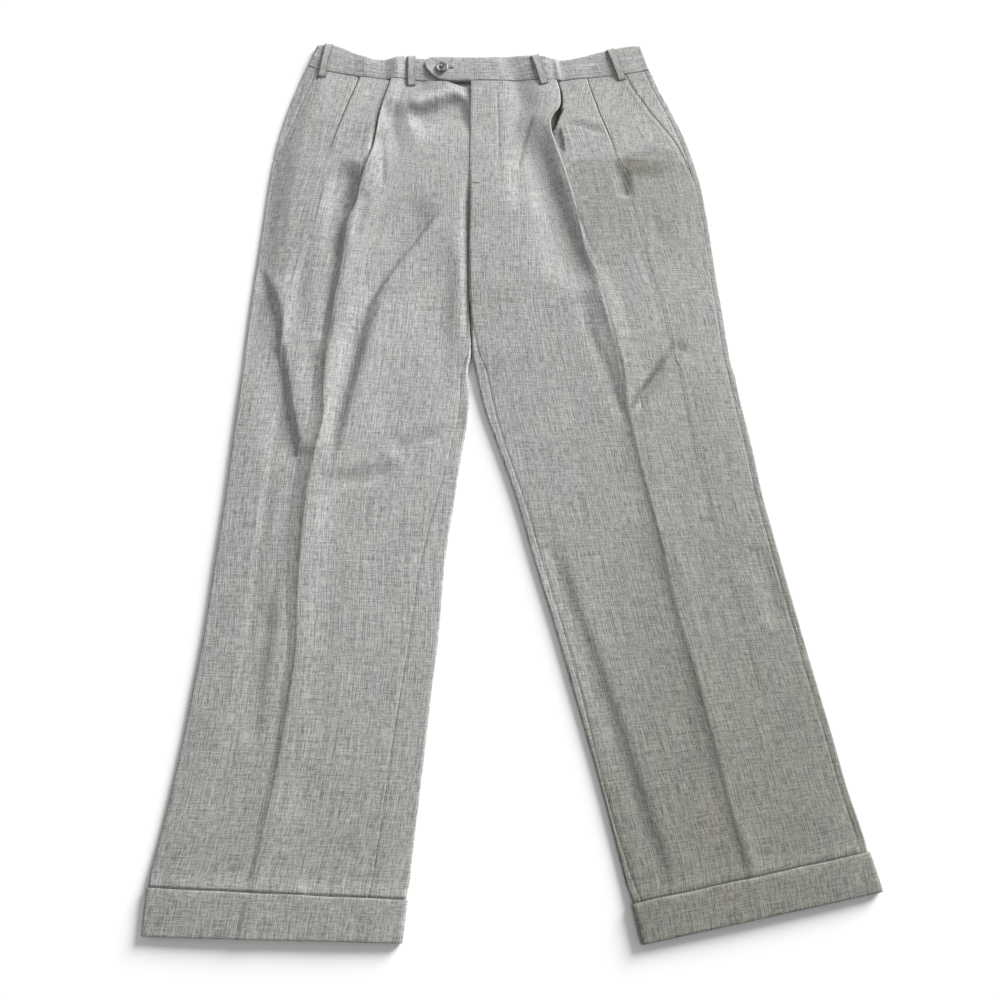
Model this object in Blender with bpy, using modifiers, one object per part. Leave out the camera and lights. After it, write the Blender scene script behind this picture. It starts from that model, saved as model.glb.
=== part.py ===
"""Pleated dress trousers laid flat on their back, built panel by panel.

The frame is in metres: +Z is up from the surface they lie on, +Y points to the waist and +X to the
wearer's left. The origin is the middle of their outline, on that surface. Sizes in the tables below
are millimetres. A leg is a tube of two panels: its front lies on its back, and the cloth rolls over
at the sides. Rows cross the leg from its outer side to its inner side, row 0 at the waist seam and
row 21 at the hem, and every panel is lofted through points worked out along those rows.
"""

import math
from collections import namedtuple

import bmesh
import bpy
from mathutils import Vector

MM = 0.001

# Cloth.
WALL = 1.2
BAND_WALL = 2.0
LOOP_WALL = 1.3
SEAM = 0.3
ROLL = 2.2
QUARTER = ROLL * math.pi / 2

# Rows that pieces start or end on.
FLY_END_ROW = 4.2
CROTCH_ROW = 8.0
CUFF_ROW = 20.0
HEM_ROW = 21.0
CUFF_LIFT = WALL + SEAM
HEM_TUCK = 0.93

# Where the flat of the back is divided, from its inner edge to its outer one.
BACK_SHARES = (0.2, 0.4, 0.56, 0.68, 0.78, 0.86, 0.94)

# Fly.
FLY_LAP = 5.0
FLY_STEP = 1.6
SHIELD_WIDTH = 33.0
ZIP_WIDTH = 22.0
ZIP_WALL = 1.0

# Waist seam: level across the front, rising to the sides.
CENTRE_X = -50.0
WAIST_Y = 465.5
BAND_STEP = 0.8

# Small pieces.
LOOP_WIDTH = 10.5
LOOP_RISE = 1.4
BUTTON_RADIUS = 7.5
BUTTON_HEIGHT = 3.0
BUTTON_WELL_RADIUS = 5.0
BUTTON_WELL_DEPTH = 0.7
BUTTON_HOLE_RADIUS = 0.9
BUTTON_HOLE_PITCH = 1.5
BUTTON_CENTRE = (-88.0, 486.0)

# A row across a leg: its outer and inner ends; pocket, the front's outer edge, and inseam, its inner
# edge, both measured over the roll from the middle of the side and negative underneath; side_pleat
# and crease, measured in from the outer side; and puff, how far the front stands up in the middle.
Row = namedtuple(
    "Row", "outer_x outer_y inner_x inner_y pocket side_pleat crease inseam puff"
)

RIGHT_ROWS = (
    Row(-256, 490, -50, 466, 14, 68, 106, 0, 1.0),
    Row(-266, 456, -50, 434, 15, 69, 110, 0, 2.0),
    Row(-278, 412, -50, 394, 13, 70, 114, 0, 3.0),
    Row(-286, 372, -50, 355, 7, 69, 117, 0, 3.4),
    Row(-291, 327, -50, 312, -13, 66, 112, 0, 3.6),
    Row(-294, 282, -50, 271, -13, 62, 104, 0, 3.6),
    Row(-297, 237, -50, 226, -13, 58, 100, 0, 3.6),
    Row(-300, 197, -50, 187, -13, 54, 99, 0, 3.4),
    Row(-302, 167, -49, 160, -13, 52, 99, 0, 3.2),
    Row(-304, 128, -47, 118, -13, 50, 98, 5, 3.0),
    Row(-306, 83, -50, 75, -13, 50, 98, 9, 2.8),
    Row(-309, 38, -49, 31, -13, 49, 96, 13, 2.6),
    Row(-312, -17, -56, -22, -13, 46, 90, 17, 2.4),
    Row(-315, -75, -64, -79, -13, 45, 86, 21, 2.2),
    Row(-320, -142, -73, -146, -13, 46, 88, 25, 2.0),
    Row(-325, -216, -78, -219, -13, 47, 92, 29, 2.0),
    Row(-332, -281, -85, -286, -13, 48, 95, 32, 1.8),
    Row(-339, -341, -91, -348, -13, 48, 96, 34, 1.8),
    Row(-348, -401, -97, -408, -13, 48, 96, 36, 1.6),
    Row(-355, -441, -101, -448, -13, 48, 96, 38, 1.4),
    Row(-360, -472, -104, -483, -13, 49, 99, 39, 1.2),
    Row(-361, -516, -108, -522, -13, 49, 101, 39, 1.0),
)

LEFT_ROWS = (
    Row(174, 481, -50, 466, 34, 80, 118, 0, 1.0),
    Row(184, 454, -50, 434, 32, 83, 127, 0, 2.0),
    Row(198, 420, -50, 394, 28, 87, 149, 0, 3.0),
    Row(214, 377, -50, 355, 16, 90, 157, 0, 3.6),
    Row(226, 327, -50, 312, 9, 90, 157, 0, 3.8),
    Row(232, 280, -50, 271, 9, 86, 154, 0, 3.8),
    Row(236, 232, -50, 226, 9, 80, 149, 0, 3.6),
    Row(240, 182, -50, 187, 9, 74, 140, 0, 3.4),
    Row(243, 152, -49, 160, 9, 70, 134, 0, 3.2),
    Row(246, 108, -45, 118, 9, 66, 128, 5, 3.0),
    Row(252, 73, -42, 75, 9, 64, 127, 9, 2.8),
    Row(257, 38, -32, 31, 9, 64, 130, 10, 2.6),
    Row(266, -17, -15, -19, 9, 65, 130, 10, 2.4),
    Row(274, -75, 4, -77, 9, 62, 125, 10, 2.2),
    Row(286, -136, 23, -146, 9, 62, 123, 10, 2.0),
    Row(299, -201, 44, -218, 9, 61, 121, 10, 2.0),
    Row(312, -264, 63, -288, 9, 60, 120, 9, 1.8),
    Row(324, -321, 81, -354, 9, 60, 121, 8, 1.8),
    Row(335, -376, 96, -414, 9, 60, 120, 9, 1.6),
    Row(344, -411, 105, -451, 9, 60, 121, 10, 1.4),
    Row(351, -439, 114, -487, 9, 61, 122, 10, 1.2),
    Row(360, -475, 122, -523, 9, 63, 127, 10, 1.0),
)

# How a pleat runs down the leg: depth is the cloth tucked under, negative where the pleat has
# opened out into a ridge that wide, and lift is how far its fold stands above the cloth outside it.
PleatRow = namedtuple("PleatRow", "row depth lift")

RIGHT_CREASE = (
    PleatRow(0, 24, 3.5),
    PleatRow(1, 17, 4.2),
    PleatRow(2, 12, 5.2),
    PleatRow(3, 8, 5.6),
    PleatRow(4, 2, 5.6),
    PleatRow(5, -6, 5.4),
    PleatRow(6, -10, 5.0),
    PleatRow(8, -11, 4.2),
    PleatRow(10, -12, 3.6),
    PleatRow(13, -10, 2.6),
    PleatRow(19, -9, 1.8),
    PleatRow(21, -8, 0.8),
)

LEFT_CREASE = (
    PleatRow(0, 22, 3.5),
    PleatRow(1, 15, 6.0),
    PleatRow(2, 12, 8.5),
    PleatRow(3, 9, 7.0),
    PleatRow(4, 2, 6.2),
    PleatRow(5, -5, 5.8),
    PleatRow(6, -8, 5.2),
    PleatRow(8, -10, 4.0),
    PleatRow(10, -11, 3.6),
    PleatRow(13, -10, 3.0),
    PleatRow(19, -9, 2.4),
    PleatRow(21, -8, 0.8),
)

SIDE_PLEAT = (
    PleatRow(0, 14, 3.5),
    PleatRow(1, 6, 4.3),
    PleatRow(1.5, 0, 4.2),
    PleatRow(2, -4, 3.2),
    PleatRow(3, -11, 1.2),
    PleatRow(4, -14, 0.0),
    PleatRow(21, -14, 0.0),
)

# A soft fold in the cloth: a trough where its height is negative. Its path is two to four points.
Fold = namedtuple("Fold", "height width path")

RIGHT_FOLDS = (
    Fold(-4.6, 13, ((-292, 196), (-273, 140), (-254, 45), (-228, -26))),
    Fold(3.2, 13, ((-268, 200), (-254, 130), (-236, 50), (-220, -5))),
    Fold(-3.6, 15, ((-96, 276), (-148, 196), (-176, 81), (-197, -24))),
    Fold(3.0, 15, ((-84, 262), (-128, 180), (-156, 76), (-178, -18))),
    Fold(-3.2, 13, ((-62, 446), (-112, 421), (-140, 398), (-150, 370))),
    Fold(-3.4, 12, ((-194, 318), (-200, 262), (-208, 150))),
    Fold(-2.2, 16, ((-232, 350), (-188, 354))),
    Fold(-1.8, 16, ((-81, 240), (-77, 150))),
    Fold(-2.0, 14, ((-205, -58), (-140, -44), (-62, 24))),
    Fold(-1.6, 14, ((-257, -200), (-264, -300))),
)

LEFT_FOLDS = (
    Fold(-4.8, 11, ((34, 402), (46, 310), (70, 246), (89, 150))),
    Fold(-2.0, 12, ((89, 150), (104, 86), (126, 22))),
    Fold(-2.4, 12, ((198, 108), (152, 56), (132, 24))),
    Fold(-2.2, 14, ((36, -110), (74, -228), (108, -338), (150, -476))),
    Fold(-1.6, 14, ((260, -126), (276, -212))),
    Fold(-2.0, 12, ((28, 394), (12, 356))),
)

# The crotch seam lies in a groove below the end of the fly, in both fronts.
CROTCH_GROOVE = Fold(-2.6, 14, ((-50, 300), (-50, 150)))
FOLD_FADE = 0.18
EDGE_FADE = 16.0
LEAST_HEIGHT = 2 * WALL + 0.5

# A station of the waistband, from its side to its front end: where it leaves the waist seam, how
# far above the seam it starts, and its top edge.
Station = namedtuple("Station", "seam_x above top_x top_y")

BAND_RIGHT = (
    Station(-255, 0, -245, 521),
    Station(-240, 0, -235, 522),
    Station(-222, 0, -220, 520),
    Station(-207, 0, -207, 514),
    Station(-188, 0, -189, 505),
    Station(-169, 0, -171, 499),
    Station(-151, 0, -152, 499),
    Station(-132, 0, -133, 503),
    Station(-120, 0, -121, 501),
    Station(-108, 0, -110, 500),
    Station(-100, 0, -101, 499),
    Station(-92, 0, -93, 499),
    Station(-81, 0, -81, 499),
    Station(-50, 0, -50, 499),
    Station(-32, 0, -32, 499),
)

BAND_LEFT = (
    Station(173, 0, 163, 516),
    Station(154, 0, 147, 516),
    Station(135, 0, 130, 512),
    Station(116, 0, 110, 508),
    Station(98, 0, 90, 503),
    Station(78, 0, 72, 498),
    Station(58, 0, 54, 496),
    Station(36, 0, 36, 502),
    Station(11, 0, -1, 502),
    Station(-30, 0, -34, 500),
    Station(-50, 0, -50, 500),
    Station(-81, 1, -81, 501),
    Station(-92, 3.5, -93, 501),
    Station(-100, 9, -101, 500),
    Station(-105, 15, -105, 498),
    Station(-108, 21, -107, 493),
)

# A belt loop's centre line, from the top of the waistband to its foot below the waist seam.
Loop = namedtuple("Loop", "top_x top_y foot_x foot_y")

BELT_LOOPS = (
    Loop(-229, 522, -236, 473),
    Loop(-125, 503, -124, 459),
    Loop(29, 502, 37, 459),
    Loop(124, 511, 135, 465),
)

# Linear colours of the cloth, its shaded side pieces, and the button.
CLOTH = (0.38, 0.38, 0.37, 1.0)
CLOTH_INSIDE = (0.10, 0.10, 0.10, 1.0)
BUTTON_GREY = (0.16, 0.16, 0.17, 1.0)


def mix(a, b, share):
    return a + (b - a) * share


def ease(share):
    """0 below 0, 1 above 1, and a smooth step between."""
    share = min(max(share, 0.0), 1.0)
    return share * share * (3 - 2 * share)


def through(rows, at, smooth=True):
    """The table's fields at a row number between its rows: on a smooth curve, or straight."""
    low = min(int(at), len(rows) - 2)
    share = at - low
    if not smooth:
        return [mix(a, b, share) for a, b in zip(rows[low], rows[low + 1])]
    before, after = rows[max(low - 1, 0)], rows[min(low + 2, len(rows) - 1)]
    fields = []
    for p0, p1, p2, p3 in zip(before, rows[low], rows[low + 1], after):
        slope_1, slope_2 = (p2 - p0) / 2, (p3 - p1) / 2
        bend = 2 * (p1 - p2) + slope_1 + slope_2
        rise = 3 * (p2 - p1) - 2 * slope_1 - slope_2
        fields.append(p1 + share * (slope_1 + share * (rise + share * bend)))
    return fields


def seam_gap(arc):
    """Gap of a seam at this arc: wider on the roll, where its two walls lean together inside."""
    return SEAM + 0.8 * ease((QUARTER + 2 - abs(arc)) / 2)


def profile(table, row):
    """Depth and lift of a pleat at a row."""
    for low, high in zip(table, table[1:]):
        if row <= high.row:
            share = (row - low.row) / (high.row - low.row)
            return mix(low.depth, high.depth, share), mix(low.lift, high.lift, share)
    return table[-1].depth, table[-1].lift


def from_path(point, path):
    """Distance of a point from a path, and how far along the path it is, from 0 to 1."""
    best, along_best = 1e9, 0.0
    for index, (start, end) in enumerate(zip(path, path[1:])):
        start, end = Vector(start), Vector(end)
        along = (point - start).dot(end - start) / (end - start).length_squared
        along = min(max(along, 0.0), 1.0)
        distance = (point - start.lerp(end, along)).length
        if distance < best:
            best, along_best = distance, (index + along) / (len(path) - 1)
    return best, along_best


def fold_height(point, folds):
    """How far the soft folds raise the cloth at a point of the plan."""
    total = 0.0
    for fold in folds:
        distance, along = from_path(point, fold.path)
        if distance < 3 * fold.width:
            fade = ease(along / FOLD_FADE) * ease((1 - along) / FOLD_FADE)
            total += fold.height * fade * math.exp(-((distance / fold.width) ** 2))
    return total


class Leg:
    """One leg's tube: points on its outer face, by row and by place across the row."""

    def __init__(self, rows, creases, folds, outseam, laps_over):
        self.rows = rows
        self.creases = creases
        self.folds = folds + (CROTCH_GROOVE,)
        self.outseam = outseam
        self.laps_over = laps_over
        self.wide = 1 if rows[0].outer_x < rows[0].inner_x else -1

    def row(self, at):
        """The row's fields, its ends smoothed and its seam places straight between rows."""
        smooth = Row(*through(self.rows, at))
        straight = Row(*through(self.rows, at, smooth=False))
        return smooth._replace(
            pocket=straight.pocket, inseam=straight.inseam, puff=straight.puff
        )

    def tuck(self, at):
        """How far the leg stands inside its cuff's outline, at the sides and below."""
        return CUFF_LIFT * ease((at - CUFF_ROW + 0.45) / 0.4)

    def width(self, at):
        row = self.row(at)
        across = Vector((row.inner_x - row.outer_x, row.inner_y - row.outer_y))
        return across.length - 2 * self.tuck(at)

    def waist_y(self, x):
        """Where the waist seam runs, at this x."""
        side = self.rows[0]
        share = max((x - CENTRE_X) / (side.outer_x - CENTRE_X), 0.0)
        return WAIST_Y + (side.outer_y - WAIST_Y) * share**3

    def plan(self, at, place):
        """The plan point this far in from the outer side."""
        row = self.row(at)
        outer = Vector((row.outer_x, row.outer_y))
        across = (Vector((row.inner_x, row.inner_y)) - outer).normalized()
        point = outer + across * (place + self.tuck(at))
        first = self.rows[0]
        share = (point.x - first.outer_x) / (first.inner_x - first.outer_x)
        sag = self.waist_y(point.x) - SEAM - mix(first.outer_y, first.inner_y, share)
        return point + Vector((0.0, sag * ease(1 - at / 3)))

    def closed(self, at):
        """1 where the leg is a tube of its own, 0 above the crotch, where it meets the other."""
        return ease((at - CROTCH_ROW + 0.12) / 0.24)

    def top(self, at, place, inside=(False, False)):
        """Height of the front. inside says, for each pleat, that the point is past its fold."""
        row, width = self.row(at), self.width(at)
        share = place / width * mix(0.5, 1.0, self.closed(at))
        height = self.tuck(at) + 2 * ROLL
        height += row.puff * (1 - abs(2 * min(max(share, 0.0), 1.0) - 1) ** 2.5)
        for table, fold, past in zip(
            (SIDE_PLEAT, self.creases), (row.side_pleat, row.crease), inside
        ):
            depth, lift = profile(table, at)
            if past:
                reach = max(depth, 0.0) + 2
                spread = 12 if table is SIDE_PLEAT else 30
                height += lift * (1 - ease((place - fold - reach) / spread))
        edge = min(place, mix(1e3, width - place, self.closed(at)))
        fold = ease(edge / EDGE_FADE) * fold_height(self.plan(at, place), self.folds)
        if fold < 0:
            room = height - self.tuck(at) - LEAST_HEIGHT
            fold = -room * (1 - math.exp(fold / room))
        height += fold
        if self.laps_over:
            over = ease((place - width + 60) / 20) * ease((FLY_END_ROW + 1.2 - at) / 1.0)
            height += FLY_STEP * over
        return height

    def over_outer(self, at, arc, inside=(False, False), out=0.0):
        """Place and height at this arc over the outer side's roll."""
        radius = ROLL + out
        quarter = radius * math.pi / 2
        floor = self.tuck(at) - out
        if arc >= quarter:
            place = ROLL + arc - quarter
            return place, self.top(at, place, inside) + out
        if arc <= -quarter:
            return ROLL - arc - quarter, floor
        turn = arc / radius
        return ROLL - radius * math.cos(turn), floor + radius * (1 + math.sin(turn))

    def over_inner(self, at, arc, out=0.0):
        """Place and height at this arc over the inner side's roll."""
        radius = ROLL + out
        quarter = radius * math.pi / 2
        floor, width = self.tuck(at) - out, self.width(at)
        if arc >= quarter:
            place = width - ROLL - arc + quarter
            return place, self.top(at, place, (True, True)) + out
        if arc <= -quarter:
            return width - ROLL + arc + quarter, floor
        turn = arc / radius
        return (
            width - ROLL + radius * math.cos(turn),
            floor + radius * (1 + math.sin(turn)),
        )

    def point(self, at, place, height):
        plan = self.plan(at, place)
        return Vector((plan.x, plan.y, height))

    def pleat(self, at, which):
        """The points of a pleat from outside its fold to inside it: a Z where it is folded."""
        row = self.row(at)
        fold = (row.side_pleat, row.crease)[which]
        depth, lift = profile((SIDE_PLEAT, self.creases)[which], at)
        folded = ease(depth / 4)
        ridge = min(lift / 3, 1.0)
        soft = min(1.5, -0.35 * depth) if depth < 0 else 0.0
        before = (which == 1, False)
        past = (True, which == 1)
        outside = self.top(at, fold + min(depth, 0), before)
        crest = self.top(at, fold, past)
        under = mix(mix(WALL + 0.7, 0.6, soft / 1.5) * ridge, 2 * WALL + 0.6, folded)
        places_heights = [
            (fold + min(depth, 0) - 9, None),
            (mix(fold + depth - 4, fold + depth / 2, folded), outside),
            (fold + depth - mix(1.5, 0.3, folded), outside),
            (fold + depth, outside + 0.25 * ridge),
            (fold + depth + soft - 0.3 * folded, outside + 0.5 * ridge),
            (fold + depth / 2, mix(outside + 0.5 * ridge, crest - under, 0.5)),
            (fold - soft + 1.4 * folded, crest - under),
            (fold, crest - (WALL + 0.3) * folded),
            (fold + mix(2.4, 1.5, folded), crest - 0.2 * ridge * (1 - folded)),
            (fold + max(depth, 0) / 2 + 5, "past"),
            (fold + max(depth, 0) + 9, "past"),
        ]
        points = []
        for place, height in places_heights:
            if height is None:
                height = self.top(at, place, before)
            elif height == "past":
                height = self.top(at, place, past)
            points.append((place, height))
        return points

    def front_section(self, at):
        """(place, height) along the front from its outer edge to its inner edge."""
        row, width = self.row(at), self.width(at)
        arcs = [row.pocket] + [
            max(step * QUARTER, row.pocket + 0.35 * index)
            for index, step in enumerate((-1, -0.5, 0, 0.5, 1), 1)
        ]
        section = [self.over_outer(at, arc) for arc in arcs]
        side, crease = self.pleat(at, 0), self.pleat(at, 1)
        section += self.between(at, section[-1][0], side[0][0], 2, (False, False))
        section += side
        section += self.between(at, side[-1][0], crease[0][0], 1, (True, False))
        section += crease
        ends = self.front_inner_edge(at, row, width)
        section += self.between(at, crease[-1][0], ends[0][0], 4, (True, True))
        return section + ends

    def between(self, at, start, end, count, inside):
        places = [mix(start, end, step / (count + 1)) for step in range(1, count + 1)]
        return [(place, self.top(at, place, inside)) for place in places]

    def front_inner_edge(self, at, row, width):
        """The last points of the front: flat to the centre seam, or over the leg's inner roll."""
        closed = self.closed(at)
        lap = 0.0 if self.laps_over else FLY_LAP * ease((FLY_END_ROW - at) / 0.4)
        first = max(row.inseam + 2, QUARTER)
        arcs = (first + 6, first, max(row.inseam + 1, QUARTER / 2), row.inseam + 0.35, row.inseam)
        edge = []
        for back, arc in zip((9, 3, 1.5, 0.35, 0), arcs):
            flat = width - SEAM / 2 + lap - back
            height = self.top(at, flat, (True, True))
            rolled = self.over_inner(at, arc)
            edge.append((mix(flat, rolled[0], closed), mix(height, rolled[1], closed)))
        return edge

    def back_section(self, at):
        """(place, height) along the back from the inseam, round below, to the outseam."""
        row, width = self.row(at), self.width(at)
        closed = self.closed(at)
        twist = ease(1 - abs(at - CROTCH_ROW - 0.13) / 0.15)
        start = row.inseam - seam_gap(row.inseam) - 1.3 * twist
        arcs = [start] + [
            min(step * QUARTER, start - 0.35 * index)
            for index, step in enumerate((1, 0.5, 0, -0.5, -1), 1)
        ]
        section = []
        for index, arc in enumerate(arcs):
            flat = width - SEAM / 2 - 0.35 * index
            rolled = self.over_inner(at, arc)
            section.append((mix(flat, rolled[0], closed), rolled[1] * closed))
        last = self.outseam - SEAM
        if last < 0:
            ends = [self.over_outer(at, last)]
        else:
            turns = [step * QUARTER for step in (-1, -0.5, 0, 0.5, 1)]
            ends = [self.over_outer(at, arc) for arc in turns + [last]]
        for share in BACK_SHARES:
            section.append((mix(section[5][0], ends[0][0], share), self.tuck(at)))
        return section + ends

    def side_section(self, at):
        """(place, height) along the piece behind the slant pocket, from pocket edge to outseam."""
        row = self.row(at)
        start = row.pocket - seam_gap(row.pocket)
        end = self.outseam
        if end > 0:
            arcs = [start, mix(start, end, 0.5), end]
        else:
            steps = enumerate((1, 0.5, 0, -0.5, -1), 1)
            thin = min(0.35, (start - end) / 7)
            arcs = [start] + [
                max(min(step * QUARTER, start - thin * index), end + thin * (6 - index))
                for index, step in steps
            ]
            arcs.append(end)
        return [self.over_outer(at, arc) for arc in arcs]

    def cuff_ring(self, at, out):
        """The closed ring of the cuff at a row, this far outside the leg's own cloth."""
        row, width = self.row(at), self.width(at)
        turns = [step * (ROLL + out) * math.pi / 2 for step in (-1, -0.5, 0, 0.5, 1)]
        ring = [self.over_outer(at, arc, out=out) for arc in turns]
        for share in (0.3, 0.65):
            place = row.crease * share
            ring.append((place, self.top(at, place, (True, False)) + out))
        depth, lift = profile(self.creases, at)
        ring.append((row.crease + depth, self.top(at, row.crease + depth, (True, False)) + out))
        for step in (0, 8, 30, 60, 90):
            place = row.crease + step
            ring.append((place, self.top(at, place, (True, True)) + out))
        ring += [self.over_inner(at, arc, out) for arc in reversed(turns)]
        floor = self.tuck(at) - out
        return ring + [(width * share, floor) for share in (0.75, 0.5, 0.25)]


RIGHT = Leg(RIGHT_ROWS, RIGHT_CREASE, RIGHT_FOLDS, -13, laps_over=False)
LEFT = Leg(LEFT_ROWS, LEFT_CREASE, LEFT_FOLDS, 9, laps_over=True)


def material(name, colour, roughness=0.85):
    made = bpy.data.materials.new(name)
    made.use_nodes = True
    shader = made.node_tree.nodes["Principled BSDF"]
    shader.inputs["Base Color"].default_value = colour
    shader.inputs["Roughness"].default_value = roughness
    made.diffuse_color = colour
    return made


def sheet(name, grid, wall, finish, parts, ring=False):
    """A cloth piece lofted through a grid of face points in mm, thickened behind its face."""
    shape = bmesh.new()
    rows = [[shape.verts.new(Vector(point) * MM) for point in row] for row in grid]
    count = len(rows[0])
    for upper, lower in zip(rows, rows[1:]):
        for left in range(count if ring else count - 1):
            right = (left + 1) % count
            shape.faces.new((upper[left], lower[left], lower[right], upper[right]))
    mesh = bpy.data.meshes.new(name)
    shape.to_mesh(mesh)
    shape.free()
    mesh.materials.append(finish)
    mesh.shade_smooth()
    piece = bpy.data.objects.new(name, mesh)
    parts.objects.link(piece)
    solid = piece.modifiers.new("Cloth wall", "SOLIDIFY")
    solid.thickness = wall * MM
    solid.offset = -1
    solid.use_even_offset = True
    solid.use_quality_normals = True
    return piece


def facing_out(leg, grid):
    """The grid with its rows run so that its face looks out, on either leg."""
    return grid if leg.wide > 0 else [list(reversed(row)) for row in grid]


def lofted(leg, stations, section):
    return facing_out(
        leg,
        [[leg.point(at, place, height) for place, height in section(at)] for at in stations],
    )


def build_leg(leg, side, cloth, parts):
    """Front, back, side piece and cuff of one leg."""
    hem = CUFF_ROW + HEM_TUCK
    waist = [0, 0.5, 1, 1.25, 1.5, 2, 2.5, 3, 3.4, 3.7]
    if leg.outseam < 0:
        waist[8:] = [3.18, 3.26, 3.35, 3.44, 3.52, 3.75]
    rows = waist + [4, 4.5, 5, 6, 7, CROTCH_ROW - 0.13, CROTCH_ROW + 0.13, 8.35, 8.7, 9.2]
    rows += [10, 11, 12, 13.5, 15, 16.5, 18, 19, 19.5, 19.7, 19.95, hem]
    sheet(f"front_{side}", lofted(leg, rows, leg.front_section), WALL, cloth, parts)
    sheet(f"back_{side}", lofted(leg, rows, leg.back_section), WALL, cloth, parts)

    grid = lofted(leg, waist + [3.94], leg.side_section)
    grid = [list(reversed(row)) for row in grid]
    sheet(f"pocket_side_{side}", grid, WALL, cloth, parts)

    hem_rows = ((CUFF_ROW, CUFF_LIFT), (CUFF_ROW + 0.5, CUFF_LIFT), (20.95, CUFF_LIFT))
    hem_rows += ((20.99, CUFF_LIFT - 0.5), (HEM_ROW, CUFF_LIFT - 1.4), (HEM_ROW, CUFF_LIFT - 2.6))
    grid = [
        [leg.point(at, place, height) for place, height in leg.cuff_ring(at, out)]
        for at, out in hem_rows
    ]
    sheet(f"cuff_{side}", facing_out(leg, grid), WALL, cloth, parts, ring=True)


def band_height(leg, station):
    """Height of the waistband's face: a little above the fronts, and the tab above both."""
    x = station.seam_x
    if leg.laps_over and x < CENTRE_X:
        return band_height(RIGHT, station) + BAND_WALL + SEAM + 0.1
    place = abs(x - leg.rows[0].outer_x)
    row = leg.rows[0]
    height = leg.top(0, place, (place > row.side_pleat, place > row.crease)) + BAND_STEP
    if leg.laps_over:
        height += (BAND_WALL + SEAM + 0.1 - FLY_STEP) * ease((30 - x) / 60)
    return height


def station_at(table, x):
    """The waistband's station at this x of the waist seam."""
    for one, two in zip(table, table[1:]):
        share = (x - one.seam_x) / (two.seam_x - one.seam_x)
        if 0 <= share <= 1:
            return Station(*(mix(a, b, share) for a, b in zip(one, two)))
    return table[0]


def across_band(leg, station, height, inset=0.0, count=4):
    """Points from the waist seam to the top edge of the waistband."""
    x = station.seam_x + inset
    seam = Vector((x, leg.waist_y(station.seam_x) + station.above))
    top = Vector((station.top_x + inset, station.top_y))
    points = []
    for step in range(count):
        plan = seam.lerp(top, step / (count - 1))
        points.append(Vector((plan.x, plan.y, height)))
    return points


def build_band(name, leg, table, cloth, parts):
    """Half of the waistband: its front strip, the roll at the side, and its back strip."""
    grid = [across_band(leg, station, band_height(leg, station)) for station in table[:0:-1]]
    side = table[0]
    radius = band_height(leg, side) / 2
    for turn in (90, 60, 30, 0, -30, -60, -90):
        angle = math.radians(turn)
        inset = leg.wide * radius * (1 - math.cos(angle))
        grid.append(across_band(leg, side, radius * (1 + math.sin(angle)), inset))
    back = leg.back_section(0)
    floor = [leg.plan(0, place).x for place, height in back if height == 0]
    for x in floor[::-1]:
        if abs(x - side.seam_x) > 8:
            grid.append(across_band(leg, station_at(table, x), 0.0))
    if leg.wide > 0:
        grid = [list(reversed(row)) for row in grid]
    return sheet(name, grid, BAND_WALL, cloth, parts)


def row_of(leg, y, x):
    """The row that passes through a point of the plan."""
    low, high = 0.0, HEM_ROW
    for _ in range(30):
        middle = (low + high) / 2
        place = abs(x - leg.row(middle).outer_x)
        if leg.plan(middle, place).y > y:
            low = middle
        else:
            high = middle
    return low


def face_height(x, y):
    """Height of the trousers' upper face near the waist."""
    leg = RIGHT if x < CENTRE_X else LEFT
    if y > leg.waist_y(x):
        return band_height(leg, Station(x, 0, x, y))
    at = row_of(leg, y, x)
    place = abs(x - leg.row(at).outer_x)
    row = leg.row(at)
    return leg.top(at, place, (place > row.side_pleat, place > row.crease))


def build_belt_loop(name, loop, cloth, parts):
    """A strip sewn down at both ends, standing a little off the waistband between them."""
    top, foot = Vector((loop.top_x, loop.top_y)), Vector((loop.foot_x, loop.foot_y))
    along = (foot - top).normalized()
    across = Vector((-along.y, along.x)) * LOOP_WIDTH / 2
    heights = []
    shares = (0.0, 0.12, 0.3, 0.5, 0.7, 0.88, 1.0)
    for share in shares:
        middle = top.lerp(foot, share)
        beneath = max(
            face_height(middle.x + side * across.x, middle.y + side * across.y)
            for side in (-1, 0, 1)
        )
        heights.append(beneath)
    grid = []
    for index, share in enumerate(shares):
        middle = top.lerp(foot, share)
        sewn = index in (0, len(shares) - 1)
        near = [heights[index]] if sewn else heights[index - 1 : index + 2]
        height = max(near) + SEAM + LOOP_WALL
        if not sewn:
            height += LOOP_RISE * math.sin(math.pi * share) ** 0.5
        grid.append([(*(middle + side * across), height) for side in (-1, 0, 1)])
    return sheet(name, grid, LOOP_WALL, cloth, parts)


def build_fly(cloth, lining, parts):
    """Under the fly edge of the left front: the zip's tape, and the shield behind it."""
    rows = [0.12, 1, 2, 3, 4]
    for name, width, wall, below, finish in (
        ("fly_zip", ZIP_WIDTH, ZIP_WALL, WALL + SEAM, lining),
        ("fly_shield", SHIELD_WIDTH, WALL, WALL + ZIP_WALL + 2 * SEAM, cloth),
    ):
        grid = []
        for at in rows:
            inner = LEFT.width(at) - FLY_LAP - 1.2
            shape = width * (0.6 if at == rows[-1] else 1.0)
            places = [inner - shape * share for share in (1, 0.66, 0.33, 0)]
            grid.append(
                [
                    LEFT.point(at, place, LEFT.top(at, place, (True, True)) - below)
                    for place in places
                ]
            )
        sheet(name, facing_out(LEFT, grid), wall, finish, parts)


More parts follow.
